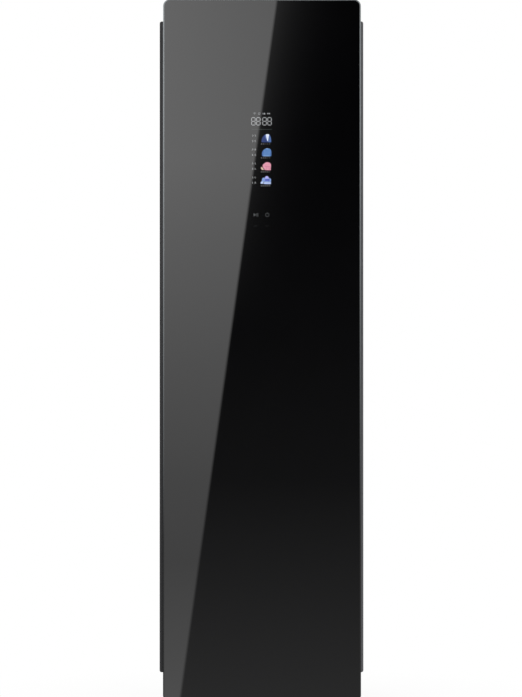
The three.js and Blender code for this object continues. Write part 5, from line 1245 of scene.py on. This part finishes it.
end_tree(cover_tree, size, add_node(cover_tree, "GeometryNodeJoinGeometry", {
    "Geometry": [sheet, copies_on_cups(cup), vanes],
}))

rear_cover = grown_piece(
    "rear_cover_finished", whole_faces("rear_cover"), cover_tree, cover_sizes, body_paint, "rear_cover",
)
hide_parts("rear_cover")
cup_x = cover_sizes["Cup Spread"] / 2
cup_floor = high.y - cover_sizes["Cup Depth"] + cover_sizes["Cup Wall"]
add_screws("rear_cover_screws", [
    (side * cup_x, cup_floor, cover_sizes["Cover Middle"] + row * cover_sizes["Cup Row Pitch"])
    for side in (-1, 1) for row in (-1, 0, 1)
], (0, 1, 0), "rear_cover", **{
    label: screw_sizes[label] * CUP_SCREW_SHARE for label in ("Head Radius", "Head Height")
})


# Hinge brackets
# Each bracket is pressed from plated steel plate, with a riveted pin that carries the door. Two
# low-headed screws hold the lower one to the front of the tray.
BRACKET_EDGE = 0.5 * MM
BRACKET_LEG_THICK = 4 * MM
BRACKET_SCREW_RISE_SHARE = 0.6
BRACKET_SCREW_SHARES = (0.24, 0.76)
LOW_HEAD_SHARE = 0.56

hinge_steel = zinc_coated_steel("plated_hinge_steel", "929496", "a6a8aa", spangle_mm=3.0)

for node in ("top_hinge_bracket", "bottom_hinge_bracket"):
    refine(node, hinge_steel, BRACKET_EDGE)
low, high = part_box("bottom_hinge_bracket")
leg_face = high.y - BRACKET_LEG_THICK
screw_z = low.z + BRACKET_SCREW_RISE_SHARE * (high.z - low.z)
add_screws("bottom_bracket_screws", [
    (low.x + share * (high.x - low.x), leg_face, screw_z) for share in BRACKET_SCREW_SHARES
], (0, -1, 0), "bottom_hinge_bracket", **{
    label: screw_sizes[label] * LOW_HEAD_SHARE for label in ("Head Height", "Recess Depth")
})


# Door frame
# Two folded steel profiles and two moulded caps make the frame round a foam core. The caps hold
# the hinge bushes, and the display's board housing sits in a pocket of the core.
PROFILE_EDGE = 0.35 * MM
CAP_EDGE = 0.8 * MM
CAP_BEND = 0.7 * MM

for node in ("door_left_profile", "door_right_profile"):
    refine(node, body_paint, PROFILE_EDGE)
for node in ("door_top_cap", "door_bottom_cap"):
    refine(node, dark_plastic, CAP_EDGE, segments=3, bend=CAP_BEND)
for node in ("top_hinge_bush", "bottom_hinge_bush"):
    refine(node, bush_plastic, BUSH_EDGE)
refine("display_module", dark_plastic, BUSH_EDGE)
refine("door_core", foam, BUSH_EDGE)


# Door glass
# One sheet of tempered glass, printed black on its back, so that it is a deep black that
# mirrors the room sharply. Its rim is ground to a narrow bevel and polished, and it is bonded
# to the frame, proud on every side.
GLASS_CORNER = 17 * MM
GLASS_BEVEL = 3.0 * MM
GLASS_BEVEL_DEPTH = 1.2 * MM
GLASS_ARRIS = 0.35 * MM
GLASS_SET_BACK = 0.15 * MM
GLASS_CORNER_STEPS = 20
GLASS_SHARP_ANGLE = math.radians(12)
# The rim's painted light: the heights over which its painted highlight grows, the painted shade share on its
# right, and the band of painted shade under its upper edge.
RIM_PAINTED_SHADE_HEIGHT = 0.45
RIM_PAINTED_HIGHLIGHT_HEIGHT = 1.55
RIM_RIGHT_PAINTED_SHADE_SHARE = 0.72
RIM_UPPER_PAINTED_SHADE_EDGE = 5 * MM
RIM_GRIT_MM = 1.2

glass_low, glass_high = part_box("door_glass")
glass_face_y = glass_low.y + GLASS_SET_BACK


def glass_ring(inset, y):
    """The glass outline drawn in by an inset, anticlockwise from the front, at one depth."""
    left, right = glass_low.x + GLASS_CORNER, glass_high.x - GLASS_CORNER
    bottom, top = glass_low.z + GLASS_CORNER, glass_high.z - GLASS_CORNER
    radius = GLASS_CORNER - inset
    points = []
    for x, z, start in ((left, bottom, 180), (right, bottom, 270), (right, top, 0), (left, top, 90)):
        for i in range(GLASS_CORNER_STEPS + 1):
            angle = math.radians(start + 90 * i / GLASS_CORNER_STEPS)
            points.append((x + radius * math.cos(angle), y, z + radius * math.sin(angle)))
    return points


def stacked_rings(name, rings):
    """A closed mesh through rings of equal length, with a face over its first and last ring."""
    count = len(rings[0])
    faces = [tuple(range(count)), tuple(reversed(range(count * (len(rings) - 1), count * len(rings))))]
    for i in range(len(rings) - 1):
        for k in range(count):
            after = (k + 1) % count
            faces.append((i * count + after, i * count + k, (i + 1) * count + k, (i + 1) * count + after))
    return joined_mesh(name, mesh_from(name, [point for ring in rings for point in ring], faces))


def ground_glass_rim_painted_light(name, low, high):
    """A ground and polished rim that shows as a satin line. Its base colour holds painted light: a painted
    highlight, brighter high up and on the left, and painted shade, darker low down, towards the right
    and along its upper edge. Its grinding marks are drawn coarse enough to show."""
    material, tree = empty_material(name)
    place = add_node(tree, "ShaderNodeTexCoord").outputs["Object"]
    x, _, z = add_node(tree, "ShaderNodeSeparateXYZ", {0: place}).outputs
    # Painted light in the base colour: a painted highlight by height, and painted shade towards the right
    # and under the upper edge.
    height_share, painted_side_shade, painted_top_edge_shade = [
        add_node(tree, "ShaderNodeMapRange", {
            "Value": along, "From Min": start, "From Max": end, "To Min": at_start, "To Max": at_end,
        }) for along, start, end, at_start, at_end in (
            (z, RIM_PAINTED_SHADE_HEIGHT, RIM_PAINTED_HIGHLIGHT_HEIGHT, 0.0, 1.0),
            (x, glass_low.x, glass_high.x, 1.0, RIM_RIGHT_PAINTED_SHADE_SHARE),
            (z, glass_high.z - RIM_UPPER_PAINTED_SHADE_EDGE, glass_high.z, 1.0, 0.0),
        )
    ]
    light = add_node(tree, "ShaderNodeMath", {0: height_share, 1: painted_side_shade}, operation="MULTIPLY")
    light = add_node(tree, "ShaderNodeMath", {0: light, 1: painted_top_edge_shade}, operation="MULTIPLY")
    return end_material(
        material, tree, (light, low, high), (soft_pattern(tree, RIM_GRIT_MM), 0.22, 0.34),
        optics={"IOR": GLASS_IOR, "Specular IOR Level": 0.25},
    )


mirror_glass = grained(
    "black_backed_tempered_glass", "000001", "020203", grain_mm=90, roughness=(0.0, 0.016), detail=4.0,
    grit=0.6, optics={"IOR": GLASS_IOR},
)
# The rim's two tones are its painted shade and its painted highlight.
rim_glass_painted_light = ground_glass_rim_painted_light("ground_glass_rim_painted_light", "121314", "8d9294")
glass_mesh = stacked_rings("door_glass_sheet", [
    glass_ring(GLASS_ARRIS, glass_high.y),
    glass_ring(0, glass_high.y - GLASS_ARRIS),
    glass_ring(0, glass_low.y + GLASS_BEVEL_DEPTH + GLASS_ARRIS),
    glass_ring(GLASS_ARRIS, glass_low.y + GLASS_BEVEL_DEPTH),
    glass_ring(GLASS_BEVEL, glass_face_y),
])
glass_mesh.shade_smooth()
glass_mesh.set_sharp_from_angle(angle=GLASS_SHARP_ANGLE)
glass = link_object("door_glass_sheet", glass_mesh, mirror_glass, rim_glass_painted_light)
for face in glass_mesh.polygons:
    face.material_index = 0 if len(face.vertices) > 4 else 1
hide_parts("door_glass")
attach(glass, "door")


# Lit marks on the glass
# The black print leaves fine windows in front of the display: a clock of four digits, status
# marks, a picture for each of four courses with two numbered settings, and two touch keys.
PRINT_THICKNESS = 0.06 * MM
PRINT_SINK = 0.01 * MM
SEGMENT_GAP = 0.6
CORNER_CUT_SHARE = 0.12
SEGMENTS = {
    "top": ((0, 1), (1, 1)), "middle": ((0, 0.5), (1, 0.5)), "bottom": ((0, 0), (1, 0)),
    "upper_left": ((0, 0.5), (0, 1)), "upper_right": ((1, 0.5), (1, 1)),
    "lower_left": ((0, 0), (0, 0.5)), "lower_right": ((1, 0), (1, 0.5)),
}
DARK_SEGMENTS = {
    0: ("middle",), 2: ("upper_left", "lower_right"), 3: ("upper_left", "lower_left"),
    5: ("upper_right", "lower_left"), 6: ("upper_right",), 8: (),
}
display_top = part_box("display_module")[1].z / MM


def digit_outlines(number, x, z, size, stroke):
    """The lit segments of a digit as six-sided bars round its middle."""
    width, height = size
    outlines = []
    for name, ends in SEGMENTS.items():
        if name in DARK_SEGMENTS[number]:
            continue
        first, last = [Vector((x + (u - 0.5) * width, z + (v - 0.5) * height)) for u, v in ends]
        along = (last - first).normalized()
        beside = Vector((-along.y, along.x)) * stroke / 2
        first += along * SEGMENT_GAP
        last -= along * SEGMENT_GAP
        shoulder = along * stroke / 2
        outlines.append([
            first, first + shoulder - beside, last - shoulder - beside,
            last, last - shoulder + beside, first + shoulder + beside,
        ])
    return outlines


def disc(x, z, radius, steps=20):
    """A round dot."""
    angles = [math.tau * i / steps for i in range(steps)]
    return [(x + radius * math.cos(angle), z + radius * math.sin(angle)) for angle in angles]


def arc_band(x, z, radius, stroke, start, sweep, steps=24):
    """A curved stroke of even width as a row of four-sided cells."""
    angles = [math.radians(start + sweep * i / steps) for i in range(steps + 1)]
    inner, outer = [
        [(x + r * math.cos(a), z + r * math.sin(a)) for a in angles]
        for r in (radius - stroke / 2, radius + stroke / 2)
    ]
    return [[inner[i], outer[i], outer[i + 1], inner[i + 1]] for i in range(steps)]


def bar(x, z, width, height):
    """An upright rectangle round its middle."""
    return [(x + u * width / 2, z + v * height / 2) for u, v in ((-1, -1), (1, -1), (1, 1), (-1, 1))]


def smooth_outline(x, z, points, rounds=2):
    """A closed outline through corner points in mm, softened by cutting its corners."""
    for _ in range(rounds):
        softened = []
        for (u, v), (next_u, next_v) in zip(points, [*points[1:], points[0]]):
            for share in (CORNER_CUT_SHARE, 1 - CORNER_CUT_SHARE):
                softened.append((u + share * (next_u - u), v + share * (next_v - v)))
        points = softened
    return [(x + u, z + v) for u, v in points]


def printed_marks(name, outlines, material, layer=1):
    """Thin slabs on the glass face, from outlines in mm from the door's middle and the floor."""
    surface = bmesh.new()
    back = glass_face_y - PRINT_SINK
    for outline in outlines:
        surface.faces.new([surface.verts.new((u * MM, back, v * MM)) for u, v in outline])
    bmesh.ops.remove_doubles(surface, verts=surface.verts, dist=MERGE_DISTANCE)
    lifted = bmesh.ops.extrude_face_region(surface, geom=surface.faces[:])
    front = [part for part in lifted["geom"] if isinstance(part, bmesh.types.BMVert)]
    bmesh.ops.translate(surface, verts=front, vec=(0, -PRINT_THICKNESS * layer / 2, 0))
    bmesh.ops.recalc_face_normals(surface, faces=surface.faces)
    mesh = bpy.data.meshes.new(name)
    surface.to_mesh(mesh)
    surface.free()
    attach(link_object(name, mesh, material), "door")


def lit_window(name, low, high, cell_mm=3.0):
    """A translucent window in the print, lit from behind by diodes, a little uneven in tone."""
    material, tree = empty_material(name)
    glow = add_node(tree, "ShaderNodeMix", {
        "Factor_Float": soft_pattern(tree, cell_mm, detail=1.0), "A_Color": colour(low),
        "B_Color": colour(high),
    }, data_type="RGBA")
    shader = add_node(tree, "ShaderNodeBsdfPrincipled", {
        "Base Color": colour("050506"), "Roughness": 0.04, "IOR": GLASS_IOR, "Emission Color": glow,
        "Emission Strength": 1.0,
    })
    add_node(tree, "ShaderNodeOutputMaterial", {"Surface": shader})
    return material


caption_light = lit_window("lit_dim_captions", "626262", "8c8c8c")

# The clock shows every segment of its four digits, over a thin dim line.
DIGIT_XS = (-21.2, -8.2, 7.9, 20.9)
DIGIT_DROP = 47.4
DIGIT_SIZE = (9.4, 19.4)
DIGIT_STROKE = 1.9
COLON_RADIUS = 0.8
UNDERLINE_X = 0.8
UNDERLINE_DROP = 68.3
UNDERLINE_SIZE = (52, 0.6)

digit_z = display_top - DIGIT_DROP
colon_x = (DIGIT_XS[1] + DIGIT_XS[2]) / 2
printed_marks("clock_digits", [
    outline for x in DIGIT_XS for outline in digit_outlines(8, x, digit_z, DIGIT_SIZE, DIGIT_STROKE)
], lit_window("lit_white_digits", "8c8e90", "b0b2b4"))
printed_marks("clock_colon", [
    disc(colon_x, digit_z + side * DIGIT_SIZE[1] / 5, COLON_RADIUS) for side in (-1, 1)
], caption_light)
printed_marks("clock_underline", [
    bar(UNDERLINE_X, display_top - UNDERLINE_DROP, *UNDERLINE_SIZE),
], lit_window("lit_dim_line", "3c4442", "56605c"))

# The status marks are waves over a dot, a ring, a stroke, a small house and two linked dots.
STATUS_DROP = 27.3
STATUS_STROKE = 0.8
WAVES_X = -18
WAVES_DROP = 2.2
WAVES_DOT = 0.7
WAVES_ARC = (40, 100)
WAVES_RADII_AND_STEPS = ((2.4, 10), (4.4, 12))
RING_X = -5.9
RING_RADIUS = 2.4
STROKE_X = 3.2
STROKE_SIZE = (1.0, 3.4)
HOUSE_X = 7.4
HOUSE_OUTLINE = [(-2.2, -2.3), (2.2, -2.3), (2.2, 0.6), (0, 2.6), (-2.2, 0.6)]
LINK_X = 18.4
LINK_SIZE = (1.6, 0.9)
LINK_DOT = 1.7
LINK_REACH = 2.2

status_z = display_top - STATUS_DROP
waves_z = status_z - WAVES_DROP
status_marks = [disc(WAVES_X, waves_z, WAVES_DOT)]
for radius, steps in WAVES_RADII_AND_STEPS:
    status_marks += arc_band(WAVES_X, waves_z, radius, STATUS_STROKE, *WAVES_ARC, steps)
status_marks += arc_band(RING_X, status_z, RING_RADIUS, STATUS_STROKE, 0, 360)
status_marks += [
    bar(STROKE_X, status_z, *STROKE_SIZE), smooth_outline(HOUSE_X, status_z, HOUSE_OUTLINE),
    disc(LINK_X - LINK_REACH, status_z, LINK_DOT), bar(LINK_X, status_z, *LINK_SIZE),
    disc(LINK_X + LINK_REACH, status_z, LINK_DOT),
]
printed_marks("status_marks", status_marks, lit_window("lit_grey_marks", "85878a", "a5a7aa"))

# Beside each course stand the two digits of each of its two settings, and below it five dots,
# the more of them large the further down the course is.
COURSE_DROP = 91.6
COURSE_PITCH = 36.3
COURSE_X = 12.8
SETTING_XS = (-23.0, -16.4)
SETTING_SIZE = (2.5, 4.2)
SETTING_STROKE = 1.3
SETTING_SPREAD = 14.0
SETTING_NUMBERS = ((3, 5), (5, 0), (2, 8), (6, 0), (6, 5), (8, 0), (3, 0), (5, 8))
CAPTION_X = 10.4
CAPTION_DROP = 14.8
CAPTION_PITCH = 5.2
CAPTION_LARGE_DOT = 1.3
CAPTION_SMALL_DOT = 0.8
CAPTION_DOT_STEPS = 12

course_zs = [display_top - COURSE_DROP - i * COURSE_PITCH for i in range(4)]
setting_zs = [z + side * SETTING_SPREAD / 2 for z in course_zs for side in (1, -1)]
printed_marks("setting_numbers", [
    outline for z, numbers in zip(setting_zs, SETTING_NUMBERS) for number, x in zip(numbers, SETTING_XS)
    for outline in digit_outlines(number, x, z, SETTING_SIZE, SETTING_STROKE)
], lit_window("lit_setting_numbers", "b6b8ba", "d4d6d8"))
printed_marks("course_levels", [
    disc(
        CAPTION_X + CAPTION_PITCH * (step - 2), z - CAPTION_DROP,
        CAPTION_LARGE_DOT if step <= i + 1 else CAPTION_SMALL_DOT, CAPTION_DOT_STEPS,
    ) for i, z in enumerate(course_zs) for step in range(5)
], caption_light)

# The four course pictures are flat garments, each built up from a few layers: a jacket over a
# shirt, a jumper, a dress with a small sock, and a cap on folded towels.
SHADE_CELL_MM = 7.0
PICTURES = [
    ("jacket", 0, 1, "23346a", "31447c", [[
        (-13, -10.6), (12.6, -10.6), (12.2, -2), (10.6, 5), (7.2, 9), (5, 10.4), (-1, 10.4),
        (-5.5, 8), (-10, 3.4), (-12.4, -3),
    ]]),
    ("jacket_front", 0, 2, "44629a", "5573aa", [[
        (4, -10.4), (12.4, -10.4), (11.9, -2), (10.3, 4.8), (7.2, 8.6), (6, 2),
    ]]),
    ("shirt", 0, 3, "c9d6f2", "f1f4fc", [[
        (-1.8, 10.6), (7.2, 10.6), (6.2, 3), (3.4, -9), (0.9, -3), (-0.6, 4),
    ]]),
    ("jacket_lapels", 0, 4, "4c62a0", "6076b2", [
        [(-2.2, 10.2), (-5.4, 6.2), (-3.6, 5.2), (-4.2, 3.6), (2.4, -6.8), (-0.4, 3)],
        [(7.2, 10.2), (9.2, 6.2), (7.9, 5.2), (8.3, 3.6), (3.6, -8), (6, 3)],
    ]),
    ("jumper", 1, 1, "4f78b0", "648cc4", [[
        (-11.5, -10.6), (12.6, -10.6), (12.6, 1.2), (11.6, 6.6), (7.6, 9.6), (1, 10.6), (-3.4, 9),
        (-8.8, 4.6), (-11.5, -1),
    ]]),
    ("jumper_sleeves", 1, 2, "3c5f9e", "4c70ae", [
        [(-11.4, -9.6), (-8.4, -10), (-7.6, -2), (-7, 4.4), (-9.2, 3.4), (-11, -1)],
        [(9.8, -8.4), (11.4, -7.6), (11.8, 1.4), (10.6, 5.4), (10, 1)],
    ]),
    ("jumper_bands", 1, 3, "7b9ccc", "8cabd8", [
        [(-8, -10.6), (9, -10.6), (9, -9), (-8, -9)],
        [(-1.6, 10), (5.2, 10.2), (4, 8.4), (1.8, 7.6), (-0.4, 8.4)],
    ]),
    ("dress", 2, 1, "d488a0", "e8a6b6", [[
        (-4.4, -10.4), (11.9, -10.4), (10.8, -6), (11.9, -1.6), (11.9, 4.8), (8.8, 8.8), (2.8, 10.6),
        (-2.2, 9.6), (-5.6, 6.8), (-9.8, 3.6), (-9.4, -2), (-5.6, -6.6),
    ]]),
    ("dress_folds", 2, 2, "b9607c", "c87088", [
        [(-4.4, 0.4), (10.2, -0.4), (10, -1.6), (-4.8, -0.8)],
        [(1.2, -2.2), (2, -2.2), (0.8, -9.8), (-0.4, -9.8)],
        [(5.8, -2.4), (6.6, -2.4), (8.2, -9.8), (6.8, -9.8)],
    ]),
    ("sock", 2, 2, "b99c8c", "dcc2ae", [[
        (-14.6, -2.6), (-11, -2), (-9.4, -4.4), (-6.6, -7.8), (-7.6, -10), (-11, -9.8), (-14, -7.4),
    ]]),
    ("towels", 3, 1, "7090cc", "93ade0", [[
        (-11.6, -4.8), (11.9, -4.8), (11.9, 1.6), (10.6, 4.8), (-4, 5), (-6.6, 6.6), (-9.6, 6),
        (-11.6, 2.4),
    ]]),
    ("towel_folds", 3, 2, "a4b6e2", "c2d0f0", [
        [(-7, -10.4), (11.9, -10.4), (11.9, -5.2), (-7, -5.2)],
        [(-15, -9.4), (-9.2, -9.8), (-7.6, -6), (-9, -3), (-13, -3.2), (-15, -5.8)],
    ]),
    ("cap", 3, 3, "4f5cb6", "6570c8", [[
        (-4.2, -2.4), (8.4, -2.4), (8.8, 1.2), (7, 3.4), (-2.8, 3.4), (-4.4, 1),
    ]]),
    ("cap_crown", 3, 4, "a29fe6", "bdbaf2", [[
        (-3.8, 3.8), (6.2, 3.8), (5.8, 7.6), (3.4, 10.4), (-1, 10.4), (-3.4, 8),
    ]]),
]
for name, row, layer, low, high, shapes in PICTURES:
    outlines = [smooth_outline(COURSE_X, course_zs[row], points) for points in shapes]
    printed_marks(f"{name}_picture", outlines, lit_window(f"{name}_light", low, high, SHADE_CELL_MM), layer)

# The touch keys are a start and pause sign and a power sign, each over three small dots.
KEY_DROP = 290.8
START_OUTLINE = ((-20.6, -4.4), (-13.4, 0), (-20.6, 4.4))
PAUSE_XS = (-12.2, -9.4)
PAUSE_SIZE = (1.5, 8.6)
POWER_X = 15.0
POWER_RADIUS = 4.5
POWER_STROKE = 1.2
POWER_ARC = (112, 316)
POWER_STEM_RISE = 4.3
POWER_STEM_HEIGHT = 4.4
KEY_DOT_XS = (-15, 14)
KEY_DOT_DROP = 29
KEY_DOT_PITCH = 2.6
KEY_DOT_RADIUS = 0.5
KEY_DOT_STEPS = 10

key_z = display_top - KEY_DROP
key_marks = [[(x, key_z + rise) for x, rise in START_OUTLINE]]
key_marks += [bar(x, key_z, *PAUSE_SIZE) for x in PAUSE_XS]
key_marks += arc_band(POWER_X, key_z, POWER_RADIUS, POWER_STROKE, *POWER_ARC)
key_marks += [bar(POWER_X, key_z + POWER_STEM_RISE, POWER_STROKE, POWER_STEM_HEIGHT)]
key_marks += [
    disc(x + KEY_DOT_PITCH * step, key_z - KEY_DOT_DROP, KEY_DOT_RADIUS, KEY_DOT_STEPS)
    for x in KEY_DOT_XS for step in (-1, 0, 1)
]
printed_marks("touch_keys", key_marks, lit_window("dim_touch_keys", "3c3d3f", "57595b"))


# Door liner and seal
# The inner face of the door is a pale formed sheet with a fluted raised panel. The seal is an
# extruded rubber ring with a bellows fold and a magnet pocket, welded at its corners.
DOOR_LINER_EDGE = 1.2 * MM
DOOR_LINER_BEND = 2.2 * MM
SEAL_HALF_OUTLINE_MM = (
    (11.0, 0.0), (11.0, 1.8), (8.4, 3.0), (4.2, 3.0), (3.0, 4.1), (5.2, 5.4), (3.0, 6.7),
    (4.4, 7.4), (7.0, 7.4), (7.0, 10.3), (5.6, 11.4),
)
SEAL_DENT_MM = (0.0, 10.7)

refine("door_liner", liner_plastic, DOOR_LINER_EDGE, segments=3, bend=DOOR_LINER_BEND)

low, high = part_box("door_gasket")
seal_reach = SEAL_HALF_OUTLINE_MM[0][0] * MM
seal_sizes = {
    "Ring Width": high.x - low.x - 2 * seal_reach, "Ring Height": high.z - low.z - 2 * seal_reach,
    "Corner Radius": 14 * MM, "Fold Rounding": 0.55 * MM, "Back Place": low.y,
    "Ring Middle": (low.z + high.z) / 2, "Corner Steps": 8, "Fold Steps": 2,
}
seal_tree, size = sized_tree("seal_ring", seal_sizes)
outline = add_node(seal_tree, "GeometryNodeMeshToCurve", {"Mesh": size["Geometry"]})
outline = add_node(seal_tree, "GeometryNodeFilletCurve", {
    "Curve": outline, "Radius": size["Fold Rounding"], "Count": size["Fold Steps"], "Limit Radius": True,
}, mode="POLY")
loop = add_node(seal_tree, "GeometryNodeCurvePrimitiveQuadrilateral", {
    "Width": size["Ring Width"], "Height": size["Ring Height"],
})
loop = add_node(seal_tree, "GeometryNodeFilletCurve", {
    "Curve": loop, "Radius": size["Corner Radius"], "Count": size["Corner Steps"],
}, mode="POLY")
loop = add_node(seal_tree, "GeometryNodeSetCurveNormal", {"Curve": loop}, mode="Z_UP")
ring = add_node(seal_tree, "GeometryNodeCurveToMesh", {"Curve": loop, "Profile Curve": outline})
ring = add_node(seal_tree, "GeometryNodeFlipFaces", {"Mesh": ring})
end_tree(seal_tree, size, add_node(seal_tree, "GeometryNodeTransform", {
    "Geometry": ring, "Translation": (0, size["Back Place"], size["Ring Middle"]),
    "Rotation": (math.pi / 2, 0, 0),
}))

outline_mm = [
    *SEAL_HALF_OUTLINE_MM, SEAL_DENT_MM,
    *[(-across, deep) for across, deep in reversed(SEAL_HALF_OUTLINE_MM)],
]
seal_outline = [(across * MM, deep * MM, 0) for across, deep in outline_mm]
seal = grown_piece(
    "door_gasket_finished", mesh_from("seal_outline", seal_outline, [range(len(seal_outline))]),
    seal_tree, seal_sizes, soft_rubber("extruded_grey_seal_rubber", "4a4b4e", "5d5e61"), "door_gasket",
)
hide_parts("door_gasket")


# Edge grips
# Along each side of the glass runs a slim strip of dark grey anodised aluminium, scooped out
# behind so that fingers can pull the door anywhere along its height.
GRIP_EDGE = 0.5 * MM
# Both strips share one finish: the left one's base colour is drawn darker as painted shade, and the right
# one's lighter as painted light.
GRIP_TONES_WITH_PAINTED_LIGHT = {"left_grip": ("2b2b2c", "3a3a3b"), "right_grip": ("4e4e50", "646466")}

for name, (low, high) in GRIP_TONES_WITH_PAINTED_LIGHT.items():
    grip_metal_with_painted_light = brushed_metal(f"anodised_aluminium_painted_light_level_{name}", low, high, 0.7, (1, 1, 60), 0.36)
    refine(f"{name}_strip", grip_metal_with_painted_light, GRIP_EDGE, segments=3)
